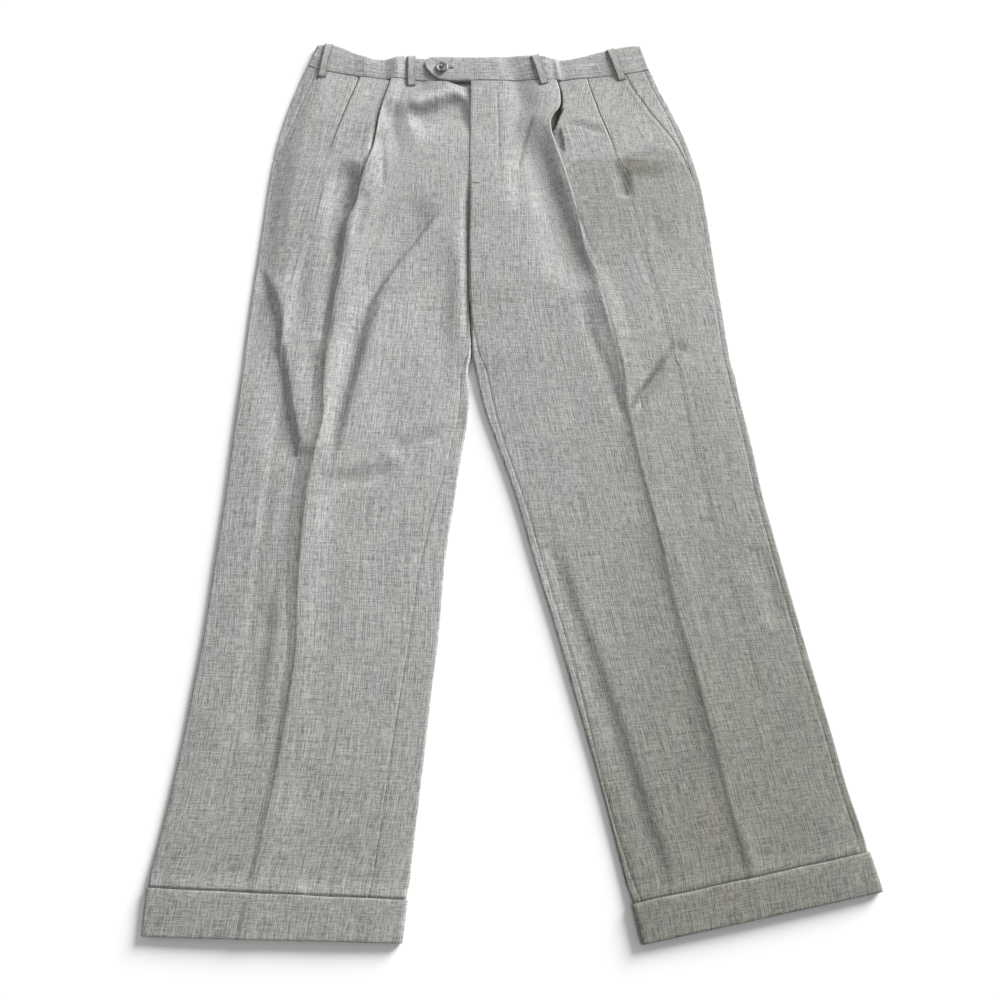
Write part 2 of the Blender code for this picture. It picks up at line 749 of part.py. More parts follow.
def build_button(finish, parts, cutters):
    """A four-hole button with a sunken middle, lying on the tab."""
    rim = BUTTON_RADIUS
    outline = (
        (0.0, BUTTON_HEIGHT - BUTTON_WELL_DEPTH),
        (BUTTON_WELL_RADIUS, BUTTON_HEIGHT - BUTTON_WELL_DEPTH),
        (BUTTON_WELL_RADIUS + 0.8, BUTTON_HEIGHT),
        (rim - 0.8, BUTTON_HEIGHT),
        (rim, BUTTON_HEIGHT - 1.0),
        (rim, 1.0),
        (rim - 1.4, 0.0),
        (0.0, 0.0),
    )
    x, y = BUTTON_CENTRE
    seat = band_height(LEFT, Station(x, 0, x, y)) + SEAM
    mesh = bpy.data.meshes.new("waist_button")
    mesh.from_pydata(
        [(radius * MM, 0, height * MM) for radius, height in outline],
        [(index, index + 1) for index in range(len(outline) - 1)],
        [],
    )
    mesh.materials.append(finish)
    button = bpy.data.objects.new("waist_button", mesh)
    button.location = (x * MM, y * MM, seat * MM)
    parts.objects.link(button)
    turned = button.modifiers.new("Turned", "SCREW")
    turned.steps = turned.render_steps = 32
    turned.use_merge_vertices = True
    turned.merge_threshold = 0.00001
    for across in (-1, 1):
        for along in (-1, 1):
            cutter_mesh = bpy.data.meshes.new("button_hole")
            shape = bmesh.new()
            bmesh.ops.create_cone(
                shape,
                cap_ends=True,
                segments=10,
                radius1=BUTTON_HOLE_RADIUS * MM,
                radius2=BUTTON_HOLE_RADIUS * MM,
                depth=2 * BUTTON_HEIGHT * MM,
            )
            shape.to_mesh(cutter_mesh)
            shape.free()
            cutter = bpy.data.objects.new("button_hole", cutter_mesh)
            cutter.location = (
                (x + across * BUTTON_HOLE_PITCH) * MM,
                (y + along * BUTTON_HOLE_PITCH) * MM,
                (seat + BUTTON_HEIGHT / 2) * MM,
            )
            cutter.hide_render = True
            cutter.display_type = "WIRE"
            cutters.objects.link(cutter)
            hole = button.modifiers.new("Thread hole", "BOOLEAN")
            hole.operation = "DIFFERENCE"
            hole.object = cutter


def main():
    for old in list(bpy.data.objects):
        bpy.data.objects.remove(old, do_unlink=True)
    scene = bpy.context.scene
    parts = bpy.data.collections.new("Pleated trousers")
    cutters = bpy.data.collections.new("Cutters")
    scene.collection.children.link(parts)
    scene.collection.children.link(cutters)
    cloth = material("grey wool", CLOTH)
    inside = material("zip tape", CLOTH_INSIDE)
    horn = material("grey button", BUTTON_GREY, roughness=0.35)

    build_leg(RIGHT, "right", cloth, parts)
    build_leg(LEFT, "left", cloth, parts)
    build_band("waistband_right", RIGHT, BAND_RIGHT, cloth, parts)
    build_band("waistband_left", LEFT, BAND_LEFT, cloth, parts)
    for number, loop in enumerate(BELT_LOOPS, 1):
        build_belt_loop(f"belt_loop_{number}", loop, cloth, parts)
    build_fly(cloth, inside, parts)
    build_button(horn, parts, cutters)


main()
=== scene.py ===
"""Pleated dress trousers laid flat, front up: sewn cloth, folds, stitching and a waist button.

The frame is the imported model's, in metres: +Z is up from the surface the trousers lie on, +Y
points to the waist and +X to the wearer's left. Sizes in the tables are millimetres. A leg is a
tube of two panels, its front lying on its back. Rows cross a leg from its outer side to its inner
side, row 0 at the waist seam and row 21 at the hem, and a place is a distance in from the outer
side.
"""

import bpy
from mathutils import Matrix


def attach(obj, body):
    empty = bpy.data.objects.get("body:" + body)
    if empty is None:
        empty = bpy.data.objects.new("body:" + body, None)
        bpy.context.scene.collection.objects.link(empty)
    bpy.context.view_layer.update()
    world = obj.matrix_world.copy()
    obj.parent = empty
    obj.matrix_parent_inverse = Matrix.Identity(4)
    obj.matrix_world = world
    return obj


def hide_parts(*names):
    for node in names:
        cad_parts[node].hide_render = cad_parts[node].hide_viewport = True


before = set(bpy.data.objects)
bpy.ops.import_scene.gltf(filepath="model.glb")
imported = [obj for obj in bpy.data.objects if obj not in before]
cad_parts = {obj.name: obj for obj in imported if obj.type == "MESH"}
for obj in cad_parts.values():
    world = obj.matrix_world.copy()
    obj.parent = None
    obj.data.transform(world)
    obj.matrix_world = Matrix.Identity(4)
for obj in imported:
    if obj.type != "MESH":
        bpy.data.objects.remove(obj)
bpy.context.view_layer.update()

import logging
import math
from collections.abc import Callable, Iterable, Sequence
from dataclasses import dataclass, field
from enum import Enum

import bpy
import numpy as np
from mathutils import Vector
from mathutils.bvhtree import BVHTree

log = logging.getLogger("trousers")
Array = np.ndarray
Colour = tuple[float, float, float, float]
Point = tuple[float, float, float]
Socket = bpy.types.NodeSocket
Object = bpy.types.Object
Material = bpy.types.Material
Node = bpy.types.Node
NodeTree = bpy.types.NodeTree
Value = Array | float
Pair = tuple[Array, Array]
Path = tuple[tuple[float, float], ...]
Faces = list[tuple[int, ...]]
Lines = list[list[Vector]]
WHITE: Colour = (1, 1, 1, 1)

# Metres in a millimetre.
MM = 0.001

# Thickness of the cloth, of the waistband and of a belt loop.
WALL = 0.7
BAND_WALL = 1.6
LOOP_WALL = 0.9

# Radius of the cloth's roll over a side of the leg, and a quarter of the way round it.
ROLL = 2.2
QUARTER = ROLL * math.pi / 2

# A seam: the gap between its panels, and the depth and the reach of its groove.
SEAM = 0.3
SEAM_DIP = 0.36
SEAM_REACH = 1.3

# Rows that pieces start or end on, and how close to the crotch the two legs part.
POCKET_END_ROW = 3.94
FLY_END_ROW = 4.2
CROTCH_ROW = 8.0
CROTCH_JOIN = 0.12
CUFF_ROW = 20.0
LEG_END_ROW = 20.93
HEM_ROW = 21.0

# How much closer the rows of points are at the crotch, at the cuff's edge and above the crotch.
CLOSE_AT_CROTCH = 0.35
CLOSE_AT_CUFF = 0.3
CLOSE_ABOVE = 0.62

# Rows that the length down the crease is measured over.
GRAIN_ROWS = 85

# How far the cuff stands off the leg inside it.
CUFF_LIFT = 1.5

# The fly: how far the right front reaches under it, and how far its edge stands up.
FLY_LAP = 5.0
FLY_STEP = 1.6

# The centre seam, and the waist seam there.
CENTRE_X = -50.0
WAIST_Y = 465.5

# The band stands a step above the front, the tab another step, and the button stand lies lower.
BAND_STEP = 0.5
TAB_STEP = 0.3
STAND_DROP = 1.9

# Height of the front below the band where it lies flat at the fly.
FLAT_BAND = 2 * ROLL + 1.0 + 2.4

# How many points the height of the band, and of what lies under a loop, is averaged over.
BAND_SMOOTHING = 9
LOOP_SMOOTHING = 5

# Waves of the waist seam: height, middle and reach along X.
WAIST_WAVES = ((2.6, -131, 13), (-1.6, 62, 14))

# The right front sags under the tab: by how much, from where, and over what distance.
TAB_SAG = 8.5
TAB_SAG_X = -84
TAB_SAG_REACH = 32

# It is raised by the button stand at the tab's end.
STAND_RISE = 1.8

# Soft folds fade out at the ends of their path, and at the sides of a leg.
FOLD_FADE = 0.16
EDGE_FADE = 7.0
LEAST_HEIGHT = 2 * WALL + 0.5

# How fast a sharp fold falls away, and the share of a step's width that its bank takes.
SHARP_RATE = 1.3
STEP_BANK = 0.3

# The cloth rises from the side over this distance, and rounds over a pleat's fold in this one.
SHOULDER_REACH = 34
FOLD_ROUND = 1.7

# How far the raised cloth of the side pleat and of the main pleat takes to run out.
SIDE_PLEAT_RUN = 14
MAIN_PLEAT_RUN = 34

# How far the cloth under a folded pleat drops beside the fold, and lies below its crest.
LIP_DROP = 1.3
LEAST_TUCK = 0.1
PLEAT_THICKNESS = 3.2
PLEAT_MIDDLE = 1.9


class Side(Enum):
    """A leg, by the wearer's side."""

    RIGHT = "right"
    LEFT = "left"


class Bank(Enum):
    """How a fold's sides run away from its line."""

    SOFT = "soft"
    SHARP = "sharp"
    STEP = "step"


@dataclass(frozen=True)
class Row:
    """A line across a leg: its two ends, the front's outer and inner edges, and its fullness.

    pocket is the front's outer edge and inseam its inner one, measured over the rolled side from
    its middle and negative underneath. puff is how far the front stands up in the middle.
    """

    outer_x: float
    outer_y: float
    inner_x: float
    inner_y: float
    pocket: float
    side_pleat: float
    inseam: float
    puff: float


@dataclass(frozen=True)
class PleatRow:
    """A pleat at a row: the cloth tucked under, negative once it opens, and its fold's lift."""

    row: float
    depth: float
    lift: float


@dataclass(frozen=True)
class Fold:
    """A soft fold: a ridge, or a trough where its height is negative, with a width to each side.

    west and east are its widths towards the wearer's right and left, for a path that runs down.
    """

    height: float
    west: float
    east: float
    path: Path
    bank: Bank = Bank.SOFT
    fade: float = FOLD_FADE


@dataclass(frozen=True)
class Station:
    """A place along the waistband: where it leaves the waist seam, and its top edge."""

    seam_x: float
    above: float
    top_x: float
    top_y: float


# Rows 0 to 21 of each leg: outer x and y, inner x and y, pocket, side pleat, inseam, puff.
RIGHT_ROWS = tuple(
    Row(*row) for row in (
        (-256, 490, -50, 466, 15, 68, 0, 1.0), (-266, 456, -50, 434, 16, 69, 0, 2.4),
        (-278, 412, -50, 394, 14, 70, 0, 4.2), (-286, 372, -50, 355, 8, 69, 0, 5.0),
        (-291, 327, -50, 312, -13, 66, 0, 5.6), (-294, 282, -50, 271, -13, 62, 0, 5.8),
        (-297, 237, -50, 226, -13, 58, 0, 5.6), (-300, 197, -50, 187, -13, 54, 0, 5.2),
        (-302, 167, -49, 160, -13, 52, 0, 4.8), (-305, 110, -46.4, 101, -13, 50, 5, 4.6),
        (-306, 83, -50, 75, -13, 50, 9, 4.4), (-309, 38, -49, 31, -13, 49, 12, 4.1),
        (-312, -17, -56, -22, -13, 46, 15, 3.7), (-315, -75, -64, -79, -13, 45, 21, 3.2),
        (-320, -142, -73, -146, -13, 46, 27, 2.7), (-325, -216, -78, -219, -13, 47, 31, 2.2),
        (-332, -281, -85, -286, -13, 48, 33, 1.9), (-339, -341, -91, -348, -13, 48, 35, 1.7),
        (-348, -401, -97, -408, -13, 48, 36, 1.6), (-355, -441, -101, -448, -13, 48, 37, 1.4),
        (-360, -472, -104, -483, -13, 49, 38, 1.2), (-361, -516, -108, -522, -13, 49, 38, 1.0),
    )
)  # fmt: skip

LEFT_ROWS = tuple(
    Row(*row) for row in (
        (174, 484, -50, 466, 34, 80, 0, 1.2), (184, 454, -50, 434, 32, 83, 0, 3.4),
        (198, 420, -50, 394, 28, 88, 0, 5.6), (214, 377, -50, 355, 16, 91, 0, 7.2),
        (226, 327, -50, 312, 9, 90, 0, 8.4), (232, 280, -50, 271, 6, 86, 0, 9.0),
        (236, 232, -50, 226, 7, 80, 0, 8.4), (240, 182, -50, 187, 8, 74, 0, 7.2),
        (243, 152, -49, 160, 8, 70, 0, 5.8), (248, 92, -46.4, 101, 8, 66, 9, 4.4),
        (252, 73, -42, 75, 9, 64, 14, 3.4), (257, 38, -32, 31, 9, 64, 13, 2.8),
        (266, -17, -15, -19, 9, 65, 10, 2.3), (274, -75, 4, -77, 9, 62, 10, 1.9),
        (286, -136, 23, -146, 9, 62, 10, 1.6), (299, -201, 44, -218, 9, 61, 10, 1.4),
        (312, -264, 63, -288, 9, 60, 9, 1.4), (324, -321, 81, -354, 9, 60, 6, 1.3),
        (335, -376, 96, -414, 9, 60, 6, 1.3), (344, -411, 105, -451, 9, 60, 8, 1.2),
        (351, -439, 114, -487, 9, 61, 10, 1.1), (360, -475, 122, -523, 9, 63, 10, 1.0),
    )
)  # fmt: skip

# The pressed crease: row, and place from the outer side. It starts as the main pleat's fold.
RIGHT_CREASE_LINE = (
    (0, 107), (1.46, 112), (2.35, 116.5), (3.09, 118), (3.67, 114), (4.27, 112), (4.82, 109.5),
    (5.22, 103.5), (5.72, 102), (6.24, 102), (8.35, 98), (9.4, 95.5), (10.45, 96), (11.44, 99),
    (12.01, 94.5), (13.1, 90), (13.97, 93), (14.64, 95.5), (15.37, 101), (16.17, 102),
    (17.44, 102.5), (19.12, 103), (19.97, 104), (20.3, 100.5), (20.84, 96.5), (21, 95.5),
)  # fmt: skip
LEFT_CREASE_LINE = (
    (0, 118), (0.8, 122), (1.41, 131), (1.94, 149.5), (2.24, 154.5), (3.06, 159), (3.8, 158),
    (4.68, 155.5), (5.43, 153), (6.0, 150), (6.34, 145.5), (6.65, 140.5), (8.09, 134),
    (8.78, 128.5), (10.07, 127.5), (11.2, 131), (12.21, 130), (13.42, 125), (14.7, 126),
    (15.59, 122.5), (17.56, 121.5), (19.85, 122), (20.81, 126.5), (21, 127),
)  # fmt: skip

# Each pleat by row: its depth and its fold's lift. Main pleats and creases first, then side pleats.
RIGHT_CREASE = tuple(
    PleatRow(*row) for row in (
        (0, 9, 3.3), (1, 6, 4.0), (2, 4, 5.0), (3, 2.5, 5.4), (4, 1.5, 5.4), (5, -4, 5.4),
        (6, -5, 5.0), (8, -8, 4.4), (10, -11, 4.2), (12, -16, 4.0), (14, -15, 3.5), (15, -9, 2.8),
        (16, -7, 2.3), (19, -6, 1.2), (21, -5, 0.8),
    )
)  # fmt: skip

LEFT_CREASE = tuple(
    PleatRow(*row) for row in (
        (0, 22, 3.4), (1, 15, 5.4), (2, 12, 5.6), (3, 9, 3.4), (4, 4, 2.6), (5, 1, 2.0),
        (6, -6, 1.4), (8, -16, 0.6), (21, -16, 0.2),
    )
)  # fmt: skip

RIGHT_SIDE_PLEAT = tuple(
    PleatRow(*row) for row in (
        (0, 14, 1.4), (1, 8, 1.4), (2, 2, 1.2), (2.8, -4, 0.8), (3.6, -5, 0.4), (4.4, -6, 0.0),
        (21, -6, 0.0),
    )
)  # fmt: skip

LEFT_SIDE_PLEAT = tuple(
    PleatRow(*row) for row in (
        (0, 14, 0.5), (1, 9, 0.2), (2, 5, 0.1), (2.6, 3, 0.1), (3.2, 0.4, 0.1), (3.8, -4, 0.0),
        (21, -4, 0.0),
    )
)  # fmt: skip

# How far the cloth rises from the side of the leg, by row.
RIGHT_SHOULDER = ((0, 0.4), (1, 3.0), (2, 4.0), (4, 5.5), (6, 5.0), (8, 3.0), (11, 1.0), (21, 0.4))
LEFT_SHOULDER = ((0, 0.3), (3, 0.8), (10, 0.6), (21, 0.3))

RIGHT_FOLDS = (
    # Outer diagonal fold: low cloth outside it, a steep bank, and a ridge on its inner side.
    Fold(-5.0, 8, 2.6, ((-294, 206), (-286, 184), (-280, 164), (-274, 140)), fade=0.3),
    Fold(-6.5, 26, 5, ((-283, 182), (-277, 160), (-271, 128), (-262, 74), (-243, -11), (-234, -30)),
         fade=0.25),
    Fold(2.6, 5, 30, ((-280, 194), (-271, 172), (-264, 140), (-254, 74), (-233, -11), (-224, -34))),
    # Soft valley between it and the crease.
    Fold(-2.0, 20, 12, ((-248, 260), (-243, 158), (-233, 90), (-226, 30)), fade=0.4),
    # Inner diagonal fold, from the crotch to the crease at the knee: a groove, soft lower down.
    Fold(-9.5, 8, 3.0, ((-84, 284), (-108, 249), (-131, 217), (-153, 182), (-176, 144)), fade=0.28),
    Fold(1.6, 2.4, 16, ((-90, 282), (-118, 243), (-148, 187), (-168, 138), (-182, 92)), Bank.SHARP),
    Fold(-3.0, 16, 4, ((-92, 292), (-122, 250), (-152, 190), (-172, 134), (-186, 88))),
    Fold(-6.0, 15, 7, ((-148, 196), (-170, 130), (-182, 81), (-197, 6), (-204, -58)), fade=0.4),
    Fold(3.4, 8, 22, ((-136, 196), (-157, 130), (-170, 80), (-186, -6), (-194, -66)), fade=0.4),
    # Cloth pulled towards the fly, with a slack hollow beside the pleat.
    Fold(-10.0, 9, 26, ((-52, 435), (-72, 429), (-88, 421), (-104, 415), (-128, 409)), fade=0.2),
    Fold(3.6, 9, 9, ((-56, 450), (-74, 446), (-94, 439), (-112, 432), (-128, 428)), fade=0.2),
    Fold(-9.5, 5, 20, ((-147, 440), (-153, 420), (-159, 398), (-164, 374), (-168, 342)), fade=0.35),
    Fold(-2.2, 10, 1.8, ((-157, 388), (-154, 352), (-152, 308)), Bank.SHARP),
    Fold(-2.4, 18, 12, ((-92, 306), (-118, 280), (-138, 252), (-154, 214)), fade=0.45),
    # Pocket of shade beside the main pleat.
    Fold(-13.0, 16, 9, ((-190, 350), (-195, 324), (-198, 300), (-200, 270)), fade=0.45),
    Fold(-6.5, 16, 5, ((-196, 316), (-200, 270), (-202, 236), (-205, 196)), fade=0.25),
    Fold(-3.6, 16, 4, ((-204, 226), (-208, 178), (-210, 140), (-211, 100)), fade=0.25),
    Fold(-1.9, 12, 10, ((-166, 402), (-194, 373), (-215, 356), (-236, 340)), fade=0.35),
    Fold(1.2, 1.6, 9, ((-222, 322), (-230, 278), (-238, 238)), Bank.SHARP),
    Fold(-1.8, 6, 5, ((-172, 304), (-178, 271), (-186, 240))),
    Fold(-3.6, 30, 13, ((-82, 262), (-80, 191), (-80, 120), (-84, 60)), fade=0.4),
    # Fold across the knee, from the crease to the inner side.
    Fold(-2.2, 9, 9, ((-206, -56), (-176, -54), (-148, -46), (-128, -30)), fade=0.35),
    Fold(1.2, 14, 14, ((-212, -42), (-176, -40), (-146, -34), (-124, -18))),
    Fold(-1.8, 10, 10, ((-136, -22), (-103, -9), (-69, 7), (-52, 42))),
    Fold(1.1, 14, 14, ((-134, -8), (-100, 6), (-72, 20), (-58, 48))),
    # Soft ridge outside the crease below the knee.
    Fold(2.4, 9, 20, ((-226, -70), (-240, -150), (-250, -214), (-256, -262), (-260, -330)),
         fade=0.4),
    Fold(-2.2, 14, 7, ((-250, -190), (-262, -271), (-267, -340))),
    Fold(-1.8, 10, 8, ((-156, -428), (-186, -456), (-209, -474))),
    Fold(0.8, 30, 30, ((-170, -100), (-180, -240), (-190, -400))),
)  # fmt: skip

LEFT_FOLDS = (
    # The crease below the pleat: a bank that faces the inner side.
    Fold(
        2.4, 8, 22,
        ((90, 216), (106, 152), (119, 96), (126, 52), (133, 8), (143, -40), (153, -88), (165, -152),
         (179, -218), (192, -281), (206, -341), (218, -399), (227, -441), (237, -492)),
        Bank.SHARP, 0.08,
    ),
    Fold(-1.4, 9, 5, ((84, 190), (89, 126), (107, 77), (118, 36), (128, 16))),
    # Valley inside the main pleat, running on beside the crease.
    Fold(
        -9.5, 28, 12,
        ((28, 412), (34, 366), (42, 330), (52, 290), (64, 249), (77, 206), (88, 168)), fade=0.22,
    ),
    Fold(1.6, 12, 10, ((8, 400), (15, 350), (22, 300), (36, 252))),
    Fold(-3.0, 6, 1.8, ((28, 414), (18, 383), (11, 352), (8, 336)), Bank.SHARP),
    # Branch of the fold at the knee.
    Fold(-3.4, 9, 7, ((200, 112), (173, 86), (151, 54), (133, 20))),
    Fold(1.3, 12, 12, ((206, 98), (180, 70), (158, 42), (140, 8))),
    # Soft valley near the inner side, down to the cuff.
    Fold(-2.2, 12, 8, ((36, -108), (55, -176), (73, -228), (99, -308), (128, -405), (152, -484))),
    Fold(0.9, 10, 14, ((46, -108), (66, -176), (84, -228), (111, -308), (142, -405), (166, -484))),
    Fold(-2.2, 12, 9, ((259, -124), (273, -177), (278, -216))),
    # The fly's curved row of stitches draws the cloth in.
    Fold(-0.7, 1.6, 1.6, ((-18, 456), (-16, 409), (-15, 366), (-15, 338), (-20, 321), (-38, 312)),
         Bank.SHARP, 0.1),
    Fold(0.7, 5, 5, ((-10, 330), (-24, 318), (-34, 300)), fade=0.3),
    # Pull across the front below the pleats, and the mark pressed by the pocket inside.
    Fold(-0.8, 4, 5, ((64, 399), (86, 397), (104, 389), (118, 391)), fade=0.3),
    Fold(0.8, 8, 8, ((64, 408), (88, 407), (106, 400), (120, 402)), fade=0.3),
    Fold(0.7, 1.6, 7, ((66, 342), (80, 346), (98, 354)), Bank.SHARP, 0.3),
    Fold(-2.4, 10, 9, ((128, 342), (150, 350), (176, 354), (200, 350))),
    Fold(-2.4, 7, 5, ((132, 346), (134, 318), (136, 296))),
    Fold(-1.2, 12, 10, ((172, 274), (174, 250), (172, 226)), fade=0.4),
    Fold(-1.2, 20, 20, ((-6, 330), (8, 314), (20, 296))),
    Fold(0.8, 30, 30, ((150, -60), (190, -220), (230, -400))),
)  # fmt: skip

# The main pleat of the left front gapes here: the cloth outside its fold drops away.
PLEAT_GAPES = (
    Fold(-22.0, 22, 9, ((53, 452), (53, 432), (51.5, 417), (46, 402), (38, 392)), Bank.STEP, 0.15),
    Fold(-4.0, 14, 6, ((54, 396), (57, 378), (58, 354)), Bank.STEP, 0.35),
)

# The crotch seam lies in a groove below the end of the fly.
CROTCH_GROOVE = Fold(
    -3.6,
    6,
    2.4,
    ((-50.6, 336), (-52, 290), (-53, 240), (-52, 190), (-50, 140), (-48, 102)),
    fade=0.22,
)

# Painted shade along the fold that branches off the left crease at the knee.
KNEE_SHADE = Fold(1.1, 4.0, 2.4, ((183, 104), (168, 82), (152, 60), (139, 40), (131, 20)), fade=0.2)

# Creases that pull away from the button, along its hole and up to the top edge.
BUTTONHOLE_PUCKERS = (
    Fold(-1.3, 1.0, 1.0, ((-79, 484), (-75, 483), (-70, 483.5)), fade=0.3),
    Fold(-1.3, 1.0, 1.2, ((-80, 488), (-77, 492), (-73, 497)), fade=0.3),
    Fold(0.5, 2.0, 2.0, ((-76, 486), (-72, 488)), fade=0.4),
)

# Both halves of the waistband, from the side to the front end: seam x, above it, top x and y.
BAND_RIGHT = tuple(
    Station(*row) for row in (
        (-255, 0, -245, 521), (-240, 0, -235, 522), (-222, 0, -220, 520), (-207, 0, -207, 514),
        (-188, 0, -189, 505), (-169, 0, -171, 499), (-151, 0, -152, 499), (-132, 0, -133, 503),
        (-120, 0, -121, 501), (-108, 0, -110, 499.5), (-100, 0, -101, 499), (-92, 0, -93, 499),
        (-81, 0, -81, 499), (-50, 0, -50, 499), (-32, 0, -32, 499),
    )
)  # fmt: skip

BAND_LEFT = tuple(
    Station(*row) for row in (
        (173, 0, 163, 520), (154, 0, 147, 519), (135, 0, 130, 515), (116, 0, 110, 509.5),
        (98, 0, 90, 503), (78, 0, 72, 498), (58, 0, 54, 498), (36, 0, 36, 502), (11, 0, -1, 502),
        (-30, 0, -34, 500), (-50, 0, -50, 500), (-70, 0, -70, 500.5), (-82, 1, -82, 501),
        (-92, 3.5, -93, 501), (-99, 8.5, -100, 500.5), (-103, 13.5, -104, 499),
        (-106, 19, -106.5, 496), (-107.5, 24, -107.8, 492),
    )
)  # fmt: skip

# The waistband across, from the waist seam to the top edge: share of the way, and height.
BAND_PROFILE = (
    (0.0, -1.0), (0.006, -0.55), (0.03, -0.18), (0.08, 0.0), (0.2, 0.16), (0.36, 0.3),
    (0.52, 0.34), (0.68, 0.28), (0.82, 0.16), (0.92, 0.0), (0.97, -0.2), (1.0, -0.7),
)  # fmt: skip

# The cuff from inside its folded edge down to inside the hem: row, and how far it stands out.
CUFF_PROFILE = (
    (20.05, -0.9), (20.01, -0.7), (20.0, -0.35), (20.01, -0.08), (20.04, 0.0), (20.12, 0.08),
    (20.25, 0.1), (20.4, 0.1), (20.55, 0.1), (20.7, 0.08), (20.82, 0.05), (20.9, 0.0),
    (20.95, 0.0), (20.98, -0.15), (20.995, -0.5), (21.0, -1.0), (21.0, -1.7), (20.99, -2.3),
)  # fmt: skip

# A belt loop across: share of half its width, and height.
LOOP_PROFILE = (
    (-1.0, -0.75), (-0.97, -0.32), (-0.88, -0.06), (-0.6, 0.08), (-0.3, 0.14), (0.0, 0.16),
    (0.3, 0.14), (0.6, 0.08), (0.88, -0.06), (0.97, -0.32), (1.0, -0.75),
)  # fmt: skip

# A belt loop's centre line: top x, top y, foot x, foot y.
BELT_LOOPS = (
    (-229, 522, -236, 473), (-125, 503, -124, 459), (29, 502, 41, 459), (124, 514, 138, 468)
)

# The fly's row of stitches, and the bar tacks: the fly's end, the pockets' ends, the buttonhole.
FLY_STITCHES = ((-15, 462), (-15, 420), (-14, 380), (-15, 350), (-22, 327), (-38, 316))
BAR_TACKS = (
    ((-46, 315.5), (-39, 315.0)),
    ((148, 462), (150, 457)),
    ((211, 347), (214, 341)),
    ((-240, 474), (-242, 469)),
    ((-78.5, 483.9), (-72.0, 483.4)),
)
THREAD_LIFT = 0.05
POCKET_STITCH_IN = 6.0


def ease(share: Value) -> Array:
    """0 below 0, 1 above 1, and a smooth step between."""
    share = np.clip(share, 0.0, 1.0)
    return share * share * (3 - 2 * share)


def mix(a: Value, b: Value, share: Value) -> Value:
    """From a at share 0 to b at share 1."""
    return a + (b - a) * share


def bump(where: Array, middle: Value, reach: Value) -> Array:
    """A soft bump, 1 at its middle and falling away within reach to both sides."""
    return np.exp(-(((where - middle) / reach) ** 2))


def along(knots: Sequence[float], values: Sequence[float], where: Array) -> Array:
    """A smooth curve through values at rising knots.

    Args:
        knots: Where the values are given.
        values: The values.
        where: Where they are wanted.

    Returns:
        The curve's values there.
    """
    at, to = np.asarray(knots, float), np.asarray(values, float)
    slopes = np.gradient(to, at)
    low = np.clip(np.searchsorted(at, where, side="right") - 1, 0, len(at) - 2)
    span = at[low + 1] - at[low]
    t = np.clip((where - at[low]) / span, 0.0, 1.0)
    rise = to[low + 1] - to[low]
    first, last = slopes[low] * span, slopes[low + 1] * span
    return to[low] + t * (first + t * (3 * rise - 2 * first - last + t * (first + last - 2 * rise)))


def smooth_path(path: Sequence[tuple[float, float]], steps: int = 6) -> Array:
    """A path's points with others between them on a smooth curve.

    Args:
        path: The points.
        steps: How many steps each gap is cut into.

    Returns:
        All the points, in order.
    """
    points = np.asarray(path, float)
    knots = np.arange(len(points))
    where = np.linspace(0, len(points) - 1, (len(points) - 1) * steps + 1)
    return np.stack([along(knots, points[:, axis], where) for axis in (0, 1)], axis=1)


def fold_height(x: Array, y: Array, folds: Iterable[Fold]) -> Array:
    """How far soft folds raise the cloth.

    Args:
        x: Plan places of the cloth, in mm.
        y: The same, along the leg.
        folds: The folds.

    Returns:
        The height at each place, in mm.
    """
    total = np.zeros(np.broadcast(x, y).shape)
    for fold in folds:
        path = smooth_path(fold.path)
        best = np.full(total.shape, 1e9)
        across, done = np.zeros(total.shape), np.zeros(total.shape)
        for index, (start, end) in enumerate(zip(path, path[1:])):
            run = end - start
            share = ((x - start[0]) * run[0] + (y - start[1]) * run[1]) / (run @ run)
            share = np.clip(share, 0.0, 1.0)
            off_x, off_y = x - start[0] - share * run[0], y - start[1] - share * run[1]
            distance = np.hypot(off_x, off_y)
            nearer = distance < best
            side = np.sign(run[0] * off_y - run[1] * off_x)
            best = np.where(nearer, distance, best)
            across = np.where(nearer, side, across)
            done = np.where(nearer, (index + share) / (len(path) - 1), done)
        width = np.where(across > 0, fold.east, fold.west)
        away = best / width
        if fold.bank is Bank.SOFT:
            shape = np.exp(-(away**2))
        elif fold.bank is Bank.SHARP:
            shape = np.exp(-away * SHARP_RATE)
        else:
            shape = ease((1 - away) / STEP_BANK)
        ends = ease(done / fold.fade) * ease((1 - done) / fold.fade)
        total = total + fold.height * shape * ends
    return total


def cloth_swell(x: Array, y: Array) -> Array:
    """Slight unevenness of cloth that has been worn and smoothed out by hand.

    Args:
        x: Plan places of the cloth, in mm.
        y: The same, along the leg.

    Returns:
        How far it is raised there, in mm.
    """
    long_way = np.sin(x / 17.0 + 0.9 * np.sin(y / 61.0)) * np.sin(y / 47.0 + 1.1)
    cross_way = np.sin(x / 9.5 + y / 83.0) * np.sin(y / 23.0 + 0.7 * np.sin(x / 31.0))
    return 0.16 * long_way + 0.07 * cross_way


